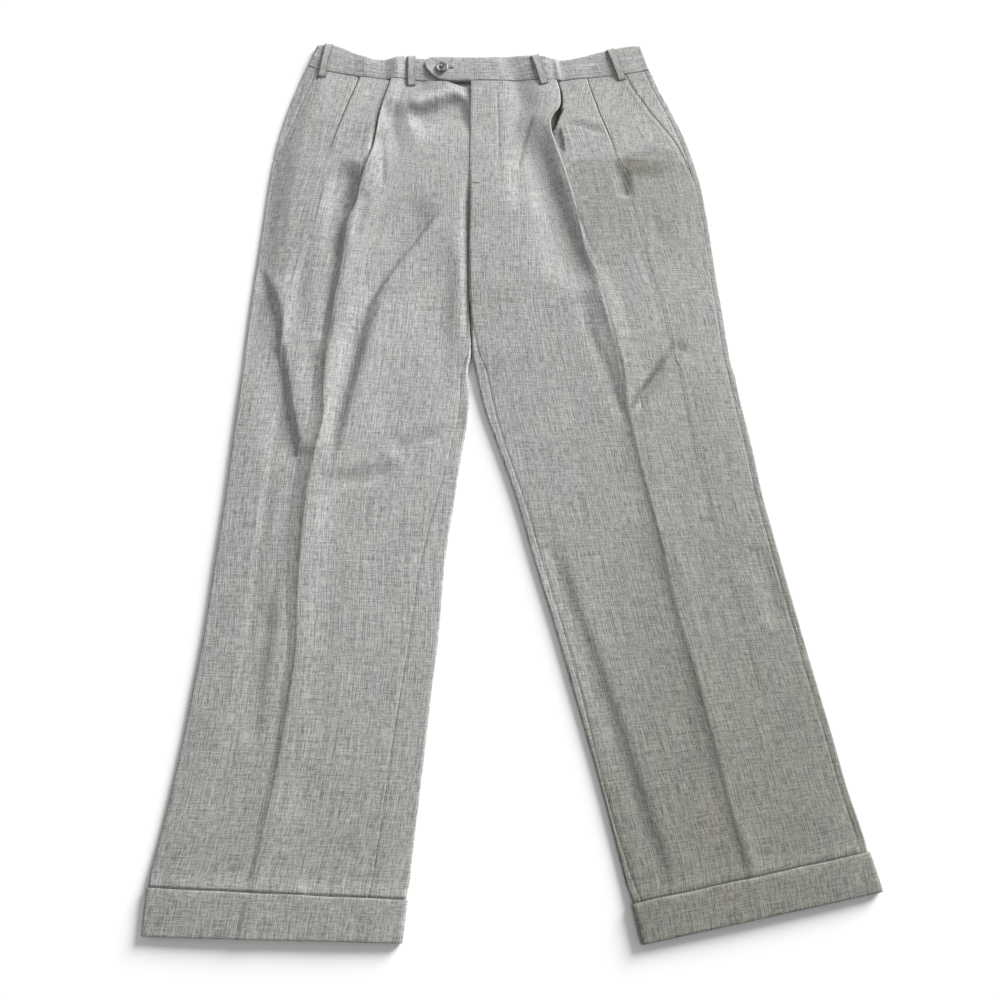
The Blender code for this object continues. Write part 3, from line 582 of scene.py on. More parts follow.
@dataclass
class LegShape:
    """The outer face of one leg's tube, by row and by place across the row.

    Rows and places are arrays: a column of rows, and places that run across each. pleat_reach is
    the share of a pleat's depth that its raised cloth covers, crest_run how far the main pleat's
    crest runs out at the waist, and under_drop how far the cloth beneath it lies below.
    """

    side: Side
    rows: tuple[Row, ...]
    crease_line: Path
    crease: tuple[PleatRow, ...]
    folds: tuple[Fold, ...]
    side_pleat: tuple[PleatRow, ...]
    shoulder: Path
    outseam: float
    laps_over: bool
    pleat_reach: float
    crest_run: float
    under_drop: float

    @property
    def wide(self) -> int:
        """1 where the row runs towards +X, and -1 where it runs the other way."""
        return 1 if self.side is Side.RIGHT else -1

    def row_value(self, name: str, at: Array) -> Array:
        """A value of the rows on a smooth curve, or straight between rows for the pocket and puff.

        Args:
            name: The value's name in Row.
            at: Rows.

        Returns:
            The value at each row.
        """
        values = [getattr(row, name) for row in self.rows]
        if name in ("pocket", "puff"):
            return np.interp(at, np.arange(len(values)), values)
        return along(np.arange(len(values)), values, at)

    def crease_place(self, at: Array) -> Array:
        """Where the crease lies, in from the outer side."""
        return along(*zip(*self.crease_line), at)

    def pleat(self, which: int, at: Array) -> tuple[Array, Array, Array]:
        """Where a pleat's fold lies, and how deep and high it is.

        Args:
            which: 0 for the side pleat, 1 for the main pleat and the crease below it.
            at: Rows.

        Returns:
            The fold's place, the pleat's depth, and the fold's lift.
        """
        table = (self.side_pleat, self.crease)[which]
        place = self.crease_place(at) if which else self.row_value("side_pleat", at)
        knots = [row.row for row in table]
        depth = np.interp(at, knots, [row.depth for row in table])
        return place, depth, along(knots, [row.lift for row in table], at)

    def tuck(self, at: Array) -> Array:
        """How far the leg stands inside its cuff's outline, at the sides and below."""
        return CUFF_LIFT * ease((at - CUFF_ROW + 0.45) / 0.4)

    def across(self, at: Array) -> tuple[Array, Array, Array]:
        """Which way a row runs, and how far.

        Args:
            at: Rows.

        Returns:
            Their direction in x and in y, and their length.
        """
        run_x = self.row_value("inner_x", at) - self.row_value("outer_x", at)
        run_y = self.row_value("inner_y", at) - self.row_value("outer_y", at)
        length = np.hypot(run_x, run_y)
        return run_x / length, run_y / length, length

    def width(self, at: Array) -> Array:
        """Width of the leg."""
        return self.across(at)[2] - 2 * self.tuck(at)

    def waist_y(self, x: Array) -> Array:
        """Where the waist seam runs.

        Args:
            x: Places along it, in mm.

        Returns:
            Its y there.
        """
        side = self.rows[0]
        share = np.maximum((x - CENTRE_X) / (side.outer_x - CENTRE_X), 0.0)
        wave = sum(rise * bump(x, middle, reach) for rise, middle, reach in WAIST_WAVES)
        return WAIST_Y + (side.outer_y - WAIST_Y) * share**3 + wave

    def plan(self, at: Array, place: Array) -> Pair:
        """The plan point this far in from the outer side.

        Args:
            at: Rows.
            place: Places across them.

        Returns:
            The points' x and y.
        """
        run_x, run_y, _ = self.across(at)
        x = self.row_value("outer_x", at) + run_x * (place + self.tuck(at))
        y = self.row_value("outer_y", at) + run_y * (place + self.tuck(at))
        first = self.rows[0]
        share = (x - first.outer_x) / (first.inner_x - first.outer_x)
        sag = self.waist_y(x) - SEAM - mix(first.outer_y, first.inner_y, share)
        if self.side is Side.RIGHT:
            sag = sag - TAB_SAG * ease((x - TAB_SAG_X) / TAB_SAG_REACH) ** 1.3
        return x, y + sag * ease(1 - at / 3)

    def closed(self, at: Array) -> Array:
        """1 where the leg is a tube of its own, 0 above the crotch, where it meets the other."""
        return ease((at - CROTCH_ROW + CROTCH_JOIN) / (2 * CROTCH_JOIN))

    def top(self, at: Array, place: Array, inside: tuple[bool, bool]) -> Array:
        """Height of the front.

        Args:
            at: Rows.
            place: Places across them.
            inside: For each pleat, whether the cloth is past its fold.

        Returns:
            Heights in mm.
        """
        width = self.width(at)
        # The fullness: one rise spans both legs above the crotch, and each has its own below.
        share = np.clip(place / width * mix(0.5, 1.0, ease((at - 5.5) / 6)), 0.0, 1.0)
        height = self.tuck(at) + 2 * ROLL
        bend = mix(4.0, 2.5, ease((at - 2) / 4))
        height = height + self.row_value("puff", at) * (1 - np.abs(2 * share - 1) ** bend)
        height = height + along(*zip(*self.shoulder), at) * (ease(place / SHOULDER_REACH) - 0.4)
        for which, past in enumerate(inside):
            fold, depth, lift = self.pleat(which, at)
            if past:
                reach = np.maximum(depth, 0.0) * self.pleat_reach + FOLD_ROUND
                below = mix(self.crest_run, MAIN_PLEAT_RUN, ease((at - 1.4) / 2))
                run = below if which else SIDE_PLEAT_RUN
                height = height + lift * (1 - ease((place - fold - reach) / run))
        # Soft folds fade at the sides, and troughs stop short of the cloth below.
        x, y = self.plan(at, place)
        edge = np.minimum(place, mix(40.0, width - place, ease((at - CROTCH_ROW) / 1.6)))
        folds = self.folds + (() if inside[1] or self.side is Side.RIGHT else PLEAT_GAPES)
        soft = fold_height(x, y, folds) + cloth_swell(x, y)
        soft = ease(edge / EDGE_FADE) * soft
        room = np.maximum(height - self.tuck(at) - LEAST_HEIGHT, 0.1)
        soft = np.where(soft < 0, -room * (1 - np.exp(np.minimum(soft, 0) / room)), soft)
        height = height + soft
        if self.side is Side.RIGHT:
            under_tab = ease((x + 112) / 14) * (1 - ease((x + 82) / 16))
            height = height + STAND_RISE * under_tab * ease(1 - at / 0.7)
        if self.laps_over:
            over = ease((place - width + 60) / 20) * ease((FLY_END_ROW + 1.2 - at) / 1.0)
            height = height + (FLY_STEP + ease(1 - at / 2.5)) * over
        return height

    def grain(self, at: Array, place: Array) -> Array:
        """The grain map: in mm across from the crease, which is on the grain, and down the leg.

        Args:
            at: Rows.
            place: Places across them.

        Returns:
            The map's two numbers at each point.
        """
        line = along(*zip(*self.crease_line[::3], self.crease_line[-1]), at)
        full = self.width(CROTCH_ROW * np.ones_like(at))
        full = full - self.crease_place(CROTCH_ROW * np.ones_like(at))
        inner = np.where(at < CROTCH_ROW, full - (self.width(at) - line), 0.0)
        across = place - line + inner * ease((place - line) / 60)
        rows = np.linspace(0, HEM_ROW, GRAIN_ROWS)[:, None]
        x, y = self.plan(rows, self.crease_place(rows))
        down = np.concatenate([[0.0], np.cumsum(np.hypot(np.diff(x[:, 0]), np.diff(y[:, 0])))])
        down = np.interp(at, rows[:, 0], down)
        return np.stack(np.broadcast_arrays(across, -down), axis=-1)

    def over_side(self, at: Array, arc: Array, inner: bool, out: Value = 0.0) -> Pair:
        """Place and height at an arc over the roll of a side.

        Args:
            at: Rows.
            arc: Distance over the roll from its middle, negative underneath.
            inner: True for the inner side.
            out: How far outside the cloth's own face.

        Returns:
            Places from the outer side, and heights.
        """
        radius = ROLL + out
        quarter = radius * math.pi / 2
        turn = np.clip(arc / radius, -math.pi / 2, math.pi / 2)
        place = ROLL - radius * np.cos(turn) + np.maximum(np.abs(arc) - quarter, 0.0)
        if inner:
            place = self.width(at) - place
        floor = self.tuck(at) - out
        rolled = floor + radius * (1 + np.sin(turn))
        flat = self.top(at, place, (inner, inner)) - 2 * ROLL - self.tuck(at)
        return place, rolled + flat * ease(turn / (math.pi / 2))

    def point_grid(self, at: Array, place: Array, height: Array) -> Array:
        """The face's points in mm, one row of them for each row of the leg."""
        x, y = self.plan(at, place)
        return np.stack(np.broadcast_arrays(x, y, np.maximum(height, 0.0)), axis=-1)

    def pleat_section(self, at: Array, which: int) -> Pair:
        """A section across a pleat: folded in a Z near the waist, a ridge below.

        Args:
            at: Rows.
            which: 0 for the side pleat, 1 for the main pleat and the crease below it.

        Returns:
            Places and heights.
        """
        fold, depth, _ = self.pleat(which, at)
        before, past = (which == 1, False), (True, which == 1)
        folded = ease(depth / 4)
        outside = self.top(at, fold + np.minimum(depth, 0), before)
        crest = self.top(at, fold, past)
        rise = crest - outside
        tucked = outside - (self.under_drop if which else LEAST_TUCK)
        under = np.minimum(tucked, crest - PLEAT_THICKNESS)
        middle = crest - PLEAT_MIDDLE
        halfway = mix(under + 1.2, middle, 0.5)
        inner_end = fold + np.maximum(depth, 0)
        reaches = (13, 10.5, 8.5, 6.5) if which else (9,)
        drop = LIP_DROP * ease((4.6 - at) / 1.4)
        if self.side is Side.LEFT:
            drop = drop * (ease((2.6 - at) / 0.8) if which else 0.2)
        lip = np.maximum(outside - drop, 2 * WALL + 0.6)
        # Place open and folded, and height open and folded.
        turns = (
            (fold + depth - 2.2, fold - 0.5, outside, lip),
            (fold + depth - 1.2, fold + depth / 2, outside, under),
            (fold + depth, inner_end - 1.2, outside + 0.1 * rise, under),
            (fold + 0.8 * depth, inner_end, outside + 0.28 * rise, under + 0.6),
            (fold + 0.6 * depth, inner_end - 1.2, outside + 0.48 * rise, under + 1.2),
            (fold + 0.4 * depth, fold + depth / 2, outside + 0.68 * rise, halfway),
            (fold + 0.2 * depth, fold + 1.3, outside + 0.86 * rise, middle),
        )
        keys = [
            *((fold + np.minimum(depth, 0) - reach, None) for reach in reaches),
            (mix(fold + depth - 3.5, fold - 2.4, folded), "out"),
            *((mix(place, shut, folded), mix(height, low, folded))
              for place, shut, height, low in turns),
            (fold - mix(0.5, 0.1, folded), mix(outside + 0.97 * rise, crest - 1.0, folded)),
            (fold + mix(0.5, 1.1, folded), crest - 0.08),
            (fold + 3, "past"),
            (inner_end + mix(6, 6 - depth / 2, folded), "past"),
            (inner_end + 10, "past"),
        ]  # fmt: skip
        places, heights = [], []
        for place, height in keys:
            if height is None or isinstance(height, str):
                height = self.top(at, place, past if height == "past" else before)
            places.append(place)
            heights.append(height)
        return through_keys(places), through_keys(heights)

    def front_section(self, at: Array) -> Pair:
        """The section of the front, from its outer edge to its inner edge.

        Args:
            at: Rows.

        Returns:
            Places and heights.
        """
        pocket = self.row_value("pocket", at)
        side, crease = self.pleat_section(at, 0), self.pleat_section(at, 1)
        ends = self.front_inner_edge(at)
        roll_end = np.maximum(pocket + 5, QUARTER + 1.5)
        side_end = side[0][:, :1] - ROLL + QUARTER
        arcs = [spread(pocket, roll_end, 14), spread(roll_end, side_end, 18)[:, 1:]]
        arcs = np.concatenate(arcs, axis=1)
        place, height = self.over_side(at, arcs, inner=False)
        sewn = ease((at - POCKET_END_ROW) / 0.2)
        height = height - mix(0.25, SEAM_DIP, sewn) * bump(arcs, pocket, SEAM_REACH)
        middle = spread(side[0][:, -1:], crease[0][:, :1], 20, 1.8)[:, 1:-1]
        inner = spread(crease[0][:, -1:], ends[0][:, :1], 46)[:, 1:-1]
        sections = (
            (place[:, :-1], height[:, :-1]),
            side,
            (middle, self.top(at, middle, (True, False))),
            crease,
            (inner, self.top(at, inner, (True, True))),
            ends,
        )
        place, height = (np.concatenate(part, axis=1) for part in zip(*sections))
        return place, height - cuff_groove(at) * ease((height - ROLL - self.tuck(at)) / ROLL)

    def front_inner_edge(self, at: Array) -> Pair:
        """The last of the front: flat to the centre seam, or over the leg's inner roll.

        Args:
            at: Rows.

        Returns:
            Places and heights.
        """
        closed = self.closed(at)
        lap = 0.0 if self.laps_over else FLY_LAP * ease((FLY_END_ROW - at) / 0.4)
        back = np.array([[14, 12, 10, 8.5, 7, 5.5, 4.2, 3.2, 2.4, 1.7, 1.1, 0.6, 0.25, 0.0]])
        inseam = self.row_value("inseam", at)
        flat = self.width(at) - SEAM / 2 + lap - back
        height = self.top(at, flat, (True, True))
        rolled = self.over_side(at, inseam + back, inner=True)
        place = mix(flat, rolled[0], closed)
        height = mix(height, rolled[1], closed)
        return place, height - SEAM_DIP * bump(back, 0.0, SEAM_REACH)

    def back_section(self, at: Array) -> Pair:
        """The section of the back, from the inseam, round below, to the outseam.

        Args:
            at: Rows.

        Returns:
            Places and heights.
        """
        closed = self.closed(at)
        start = self.row_value("inseam", at) - SEAM
        turn = np.maximum(start - 4, -QUARTER / 2)
        under = -QUARTER * np.ones_like(at)
        arcs = np.concatenate([spread(start, turn, 7), spread(turn, under, 26)[:, 1:]], axis=1)
        rolled = self.over_side(at, arcs, inner=True)
        flat = self.width(at) - SEAM / 2 - 0.35 * np.arange(arcs.shape[1])[None]
        dip = SEAM_DIP * bump(arcs, start, SEAM_REACH)
        place = mix(flat, rolled[0], closed)
        height = rolled[1] - cuff_groove(at) * ease((rolled[1] - ROLL - self.tuck(at)) / ROLL)
        height = (height - dip) * closed
        last = self.outseam - SEAM
        if last < 0:
            outer = self.over_side(at, last * np.ones_like(at), inner=False)
        else:
            arcs = spread(-QUARTER * np.ones_like(at), last * np.ones_like(at), 18)
            outer = self.over_side(at, arcs, inner=False)
            outer[1][:] -= SEAM_DIP * bump(arcs, last, SEAM_REACH)
        below = spread(place[:, -1:], outer[0][:, :1], 16)[:, 1:-1]
        floor = self.tuck(at) * np.ones_like(below)
        return (
            np.concatenate([place, below, outer[0]], axis=1),
            np.concatenate([height, floor, outer[1]], axis=1),
        )

    def side_section(self, at: Array) -> Pair:
        """The section of the piece behind the slant pocket, from under it to the outseam.

        Args:
            at: Rows.

        Returns:
            Places and heights.
        """
        pocket = self.row_value("pocket", at)
        start = pocket + 6 * ease((POCKET_END_ROW - at) / 0.6) + 0.4
        arcs = spread(start, self.outseam * np.ones_like(at), 30)
        place, height = self.over_side(at, arcs, inner=False)
        under = ease((arcs - pocket + 3.5) / 3.5)
        height = height - (WALL + 0.2) * under
        return place, height - SEAM_DIP * bump(arcs, self.outseam, SEAM_REACH)


def spread(start: Array, end: Array, count: int, crowd: float = 1.0) -> Array:
    """count places from start to end for each row, evenly or crowded towards the end."""
    return start + (end - start) * (1 - (1 - np.linspace(0, 1, count)[None]) ** crowd)


def cuff_groove(at: Array) -> Array:
    """Depth of the groove where the leg goes into the cuff's folded edge."""
    swell = 0.5 * ease((at - 18.4) / 1.3) * (1 - ease((at - 19.94) / 0.04))
    return 0.9 * bump(at, 19.985, 0.03) + 0.4 * ease((at - CUFF_ROW) / 0.05) - swell


def through_keys(keys: list[Array], steps: int = 2) -> Array:
    """Key values with others between them on a smooth curve.

    Args:
        keys: A column of values for each key.
        steps: How many steps each gap is cut into.

    Returns:
        The values, a row of them for each row of the keys.
    """
    rows = max(len(key) for key in keys)
    table = np.concatenate([np.broadcast_to(key, (rows, 1)) for key in keys], axis=1)
    slopes = np.gradient(table, axis=1) * 0.8
    columns = []
    for low in range(table.shape[1] - 1):
        first, last = slopes[:, low], slopes[:, low + 1]
        rise = table[:, low + 1] - table[:, low]
        for step in range(steps):
            t = step / steps
            bend = 3 * rise - 2 * first - last + t * (first + last - 2 * rise)
            columns.append(table[:, low] + t * (first + t * bend))
    return np.stack(columns + [table[:, -1]], axis=1)


def smoothed(values: Array, count: int) -> Array:
    """Values averaged over count of them round each."""
    return np.convolve(np.pad(values, count // 2, mode="edge"), np.ones(count) / count, "valid")


def stations(first: float, last: float, shape: LegShape, spacing: float) -> Array:
    """Rows to loft through, closer together above the crotch, round it and at the cuff's edge.

    Args:
        first: The first row.
        last: The last row.
        shape: The leg.
        spacing: About how far apart they are elsewhere, in mm.

    Returns:
        A column of rows.
    """
    found, at = [first], first
    while at < last - 1e-6:
        here = np.array([[at], [min(at + 0.05, HEM_ROW)]])
        y = shape.plan(here, np.full((2, 1), 100.0))[1]
        rate = abs(float(y[1, 0] - y[0, 0])) / (here[1, 0] - here[0, 0])
        near = spacing * (CLOSE_AT_CROTCH if abs(at - CROTCH_ROW) < 0.2 else 1.0)
        upper = CLOSE_ABOVE if at < 7 else 1.0
        near *= CLOSE_AT_CUFF if 19.85 < at < 20.1 else upper
        at = min(at + near / rate, last)
        found.append(at)
    return np.array(found)[:, None]


RIGHT = LegShape(
    Side.RIGHT, RIGHT_ROWS, RIGHT_CREASE_LINE, RIGHT_CREASE, RIGHT_FOLDS + (CROTCH_GROOVE,),
    RIGHT_SIDE_PLEAT, RIGHT_SHOULDER, outseam=-13, laps_over=False,
    pleat_reach=0.6, crest_run=12, under_drop=1.2,
)  # fmt: skip
LEFT = LegShape(
    Side.LEFT, LEFT_ROWS, LEFT_CREASE_LINE, LEFT_CREASE, LEFT_FOLDS + (CROTCH_GROOVE,),
    LEFT_SIDE_PLEAT, LEFT_SHOULDER, outseam=9, laps_over=True,
    pleat_reach=1.0, crest_run=MAIN_PLEAT_RUN, under_drop=LEAST_TUCK,
)  # fmt: skip


class Tree:
    """Adds nodes to one node tree and links them."""

    def __init__(self, tree: NodeTree) -> None:
        """Takes the tree that nodes are added to."""
        self.tree = tree

    def add(
        self, kind: str, inputs: dict[str | int, object] | None = None, **settings: object
    ) -> Node:
        """Adds a node.

        Args:
            kind: The node's type.
            inputs: Values or sockets for its inputs, by name or number.
            settings: Properties of the node.

        Returns:
            The node.
        """
        node = self.tree.nodes.new(kind)
        for name, value in settings.items():
            setattr(node, name, value)
        self.feed(node, inputs or {})
        return node

    def feed(self, node: Node, inputs: dict[str | int, object]) -> None:
        """Sets or links a node's inputs.

        Args:
            node: The node.
            inputs: Values or sockets for them, by name or number.
        """
        for name, value in inputs.items():
            if isinstance(value, Socket):
                self.tree.links.new(value, node.inputs[name])
            else:
                node.inputs[name].default_value = value

    def math(self, operation: str, *values: object) -> Socket:
        """The result of a Math node on numbers or sockets."""
        return self.add("ShaderNodeMath", dict(enumerate(values)), operation=operation).outputs[0]

    def colour_mix(self, share: object, a: object, b: object, blend: str = "MIX") -> Socket:
        """Two colours mixed, each of them and the share a value or a socket."""
        inputs = {0: share, 6: a, 7: b}
        return self.add("ShaderNodeMix", inputs, data_type="RGBA", blend_type=blend).outputs[2]

    def noise(self, vector: Socket, across: float, down: float, detail: float = 2.0) -> Socket:
        """Noise drawn out to a size.

        Args:
            vector: Where it is wanted.
            across: Its size across, in the vector's own unit.
            down: Its size down.
            detail: How many finer layers it has.

        Returns:
            The noise, about 0.5 on the whole.
        """
        size = {"Vector": vector, "Scale": (1 / across, 1 / down, 1.0)}
        inputs = {
            "Vector": self.add("ShaderNodeMapping", size).outputs[0],
            "Scale": 1.0,
            "Detail": detail,
            "Roughness": 0.6,
        }
        return self.add("ShaderNodeTexNoise", inputs, noise_dimensions="2D").outputs[0]


def new_group(
    name: str, inputs: dict[str, tuple[str, object]], outputs: dict[str, str], tree: str
) -> tuple[NodeTree, Node, Node]:
    """A node group with named sockets.

    Args:
        name: The group's name.
        inputs: Socket type, such as Float, and first value by name.
        outputs: Socket type by name.
        tree: The tree's type.

    Returns:
        The group, its input node and its output node.
    """
    group = bpy.data.node_groups.new(name, tree)
    for label, (socket, value) in inputs.items():
        kind = f"NodeSocket{socket}"
        item = group.interface.new_socket(label, in_out="INPUT", socket_type=kind)
        if value is not None:
            item.default_value = value
    for label, socket in outputs.items():
        kind = f"NodeSocket{socket}"
        group.interface.new_socket(label, in_out="OUTPUT", socket_type=kind)
    return group, group.nodes.new("NodeGroupInput"), group.nodes.new("NodeGroupOutput")


class ShaderGroups:
    """The effects that more than one finish uses, each built once."""

    def __init__(self) -> None:
        """Builds the groups."""
        self.weave = self.build_weave()
        self.wear = self.build_wear()

    @staticmethod
    def build_weave() -> NodeTree:
        """Heathered cloth: slubs both ways, flecks, and the threads' own relief.

        Returns:
            The group.
        """
        group, given, result = new_group(
            "Heathered weave",
            {
                "Grain": ("Vector", None),
                "Thread": ("Float", 0.6),
                "Slub": ("Float", 1.0),
                "Fleck": ("Float", 1.0),
            },
            {"Tone": "Float", "Shade": "Float", "Relief": "Float"},
            "ShaderNodeTree",
        )
        tree = Tree(group)
        grain = given.outputs["Grain"]
        long_slub = tree.noise(grain, 1.2, 60.0, 3.0)
        cross_slub = tree.noise(grain, 45.0, 1.3, 3.0)
        short_slub = tree.noise(grain, 1.3, 9.0, 2.0)
        cross_short = tree.noise(grain, 9.0, 1.4, 2.0)
        fleck = tree.noise(grain, 0.9, 0.9, 1.0)
        longs = tree.math("MULTIPLY_ADD", long_slub, 1.1, tree.math("MULTIPLY", cross_slub, 0.65))
        shorts = tree.math("MULTIPLY_ADD", cross_short, 0.7, short_slub)
        slubs = tree.math("SUBTRACT", tree.math("ADD", longs, shorts), 1.725)
        slubs = tree.math("MULTIPLY", slubs, tree.math("MULTIPLY", given.outputs["Slub"], 1.25))
        flecks = tree.math("MULTIPLY", tree.math("SUBTRACT", fleck, 0.5), given.outputs["Fleck"])
        tone = tree.math("ADD", tree.math("ADD", slubs, flecks), 0.5)
        patches = tree.noise(grain, 34.0, 90.0, 2.0)
        bands = tree.noise(grain, 7.0, 240.0, 2.0)
        bands = tree.math("MULTIPLY", bands, 0.4)
        shade = tree.math("ADD", tree.math("MULTIPLY", patches, 0.6), bands)
        split = tree.add("ShaderNodeSeparateXYZ", {0: grain})
        rate = tree.math("DIVIDE", math.pi, given.outputs["Thread"])
        warp = tree.math("SINE", tree.math("MULTIPLY", split.outputs[0], rate))
        weft = tree.math("SINE", tree.math("MULTIPLY", split.outputs[1], rate))
        checks = tree.math("MULTIPLY", tree.math("MULTIPLY", warp, weft), 0.25)
        relief = tree.math("ADD", checks, tree.math("MULTIPLY", tone, 0.8))
        tree.feed(result, {"Tone": tone, "Shade": shade, "Relief": relief})
        return group

    @staticmethod
    def build_wear() -> NodeTree:
        """Uneven shine from wear, and the mark's grey: painted shade along pressed edges and in the
        hollows, and the pocket's print.

        Returns:
            The group.
        """
        group, given, result = new_group(
            "Worn with painted shade",
            {"Place": ("Vector", None), "Mark": ("Float", 0.0), "Size": ("Float", 18.0)},
            {"Shine": "Float", "Painted shade and print": "Float"},
            "ShaderNodeTree",
        )
        tree = Tree(group)
        scale = tree.math("DIVIDE", 1000.0, given.outputs["Size"])
        cloud = tree.add(
            "ShaderNodeTexNoise", {"Vector": given.outputs["Place"], "Scale": scale, "Detail": 3.0}
        ).outputs[0]
        shine = tree.math("MULTIPLY", tree.math("SUBTRACT", cloud, 0.35), 0.25)
        mark = tree.math("MULTIPLY", given.outputs["Mark"], tree.math("ADD", cloud, 0.5))
        tree.feed(result, {"Shine": shine, "Painted shade and print": mark})
        return group


def new_material(name: str) -> tuple[Material, Tree, Node]:
    """A material, its node tree and its Principled shader."""
    made = bpy.data.materials.new(name)
    made.use_nodes = True
    return made, Tree(made.node_tree), made.node_tree.nodes["Principled BSDF"]


@dataclass(frozen=True)
class WoolCloth:
    """Grey heathered worsted, matt, with its grain along the piece's own UV map in mm."""

    name: str = "grey wool"
    light: Colour = (0.50, 0.505, 0.50, 1)
    dark: Colour = (0.155, 0.158, 0.160, 1)
    cool: Colour = (0.97, 1.0, 1.03, 1)
    warm: Colour = (1.03, 1.0, 0.93, 1)
    # The grey that the mark paints towards: painted shade in folds, hollows and along edges, and
    # print.
    painted_shade_and_print: Colour = (0.46, 0.44, 0.39, 1)
    # Painted light falloff: the cloth's colour towards the left hem.
    painted_falloff_colour: Colour = (0.60, 0.585, 0.53, 1)
    thread: float = 0.6
    roughness: float = 0.82
    sheen: float = 0.12
    relief: float = 0.00035

    def material(self, groups: ShaderGroups) -> Material:
        """The finish as a material.

        Args:
            groups: The shared effects.

        Returns:
            The material.
        """
        made, tree, shader = new_material(self.name)
        grain = tree.add("ShaderNodeUVMap", uv_map="grain").outputs[0]
        inputs = {"Grain": grain, "Thread": self.thread}
        weave = tree.add("ShaderNodeGroup", inputs, node_tree=groups.weave).outputs
        inputs = {
            "Place": tree.add("ShaderNodeTexCoord").outputs["Object"],
            "Mark": tree.add("ShaderNodeAttribute", attribute_name="mark").outputs["Fac"],
        }
        wear = tree.add("ShaderNodeGroup", inputs, node_tree=groups.wear).outputs
        # Painted light falloff towards the left hem.
        falloff_share = tree.add("ShaderNodeAttribute", attribute_name="painted_falloff").outputs["Fac"]
        colour = tree.colour_mix(weave["Tone"], self.dark, self.light)
        # Tints: random tone, the painted light falloff, and the mark's painted shade and print.
        for tint in (
            tree.colour_mix(weave["Shade"], self.cool, self.warm),
            tree.colour_mix(falloff_share, WHITE, self.painted_falloff_colour),
            tree.colour_mix(wear["Painted shade and print"], WHITE, self.painted_shade_and_print),
        ):
            colour = tree.colour_mix(1.0, colour, tint, "MULTIPLY")
        inputs = {"Height": weave["Relief"], "Strength": 0.5, "Distance": self.relief}
        tree.feed(
            shader,
            {
                "Base Color": colour,
                "Roughness": tree.math("SUBTRACT", self.roughness, wear["Shine"]),
                "Sheen Weight": self.sheen,
                "Sheen Roughness": 0.5,
                "Normal": tree.add("ShaderNodeBump", inputs).outputs[0],
            },
        )
        return made


@dataclass(frozen=True)
class SewingThread:
    """Grey thread, a little glossier than the cloth."""

    name: str = "grey thread"
    colour: Colour = (0.10, 0.10, 0.103, 1)
    pale: Colour = (0.19, 0.19, 0.193, 1)
    ply_scale: float = 2600.0
    roughness: float = 0.45
    relief: float = 0.0001

    def material(self) -> Material:
        """The finish as a material.

        Returns:
            The material.
        """
        made, tree, shader = new_material(self.name)
        place = tree.add("ShaderNodeTexCoord").outputs["Object"]
        inputs = {"Vector": place, "Scale": self.ply_scale, "Detail": 1.0}
        ply = tree.add("ShaderNodeTexNoise", inputs).outputs[0]
        relief = tree.add("ShaderNodeBump", {"Height": ply, "Distance": self.relief})
        tree.feed(
            shader,
            {
                "Base Color": tree.colour_mix(ply, self.colour, self.pale),
                "Roughness": tree.math("ADD", tree.math("MULTIPLY", ply, 0.2), self.roughness),
                "Normal": relief.outputs[0],
            },
        )
        return made


@dataclass(frozen=True)
class MarbledButton:
    """Grey marbled button, satin."""

    name: str = "grey button"
    dark: Colour = (0.075, 0.078, 0.082, 1)
    pale: Colour = (0.34, 0.345, 0.35, 1)
    marble_scale: float = 190.0
    scratch_scale: float = 900.0
    roughness: float = 0.22
    relief: float = 0.00003
    veins: tuple[float, float] = (0.38, 0.66)

    def material(self) -> Material:
        """The finish as a material.

        Returns:
            The material.
        """
        made, tree, shader = new_material(self.name)
        place = tree.add("ShaderNodeTexCoord").outputs["Object"]
        inputs = {"Vector": place, "Scale": self.marble_scale, "Detail": 4.0, "Distortion": 1.4}
        wave = tree.add("ShaderNodeTexNoise", inputs).outputs[0]
        inputs = {"Vector": place, "Scale": self.scratch_scale, "Detail": 3.0}
        fine = tree.add("ShaderNodeTexNoise", inputs).outputs[0]
        ramp = tree.add("ShaderNodeValToRGB", {0: wave})
        for element, position in zip(ramp.color_ramp.elements, self.veins):
            element.position = position
        relief = tree.add("ShaderNodeBump", {"Height": fine, "Distance": self.relief})
        tree.feed(
            shader,
            {
                "Base Color": tree.colour_mix(ramp.outputs[0], self.dark, self.pale),
                "Roughness": tree.math("ADD", tree.math("MULTIPLY", fine, 0.2), self.roughness),
                "Normal": relief.outputs[0],
            },
        )
        return made


@dataclass(frozen=True)
class ZipTape:
    """Dark woven tape, and the moulded coil on it."""

    name: str = "zip tape"
    colour: Colour = (0.03, 0.03, 0.032, 1)
    pale: Colour = (0.07, 0.07, 0.074, 1)
    rib_scale: float = 180.0
    roughness: float = 0.6

    def material(self) -> Material:
        """The finish as a material.

        Returns:
            The material.
        """
        made, tree, shader = new_material(self.name)
        place = tree.add("ShaderNodeTexCoord").outputs["Object"]
        inputs = {"Vector": place, "Scale": self.rib_scale, "Distortion": 0.4}
        ribs = tree.add("ShaderNodeTexWave", inputs).outputs[1]
        rough = tree.math("ADD", tree.math("MULTIPLY", ribs, 0.1), self.roughness)
        colour = tree.colour_mix(ribs, self.colour, self.pale)
        tree.feed(shader, {"Base Color": colour, "Roughness": rough})
        return made


@dataclass
class Finishes:
    """Every material of the trousers."""

    groups: ShaderGroups = field(default_factory=ShaderGroups)

    def __post_init__(self) -> None:
        """Builds each material once."""
        self.wool = WoolCloth().material(self.groups)
        self.thread = SewingThread().material()
        self.button = MarbledButton().material()
        self.tape = ZipTape().material()


@dataclass(frozen=True)
class Cut:
    """The flat piece that a sheet was cut as, in mm and square mm."""

    width: float
    length: float
    area: float | None = None


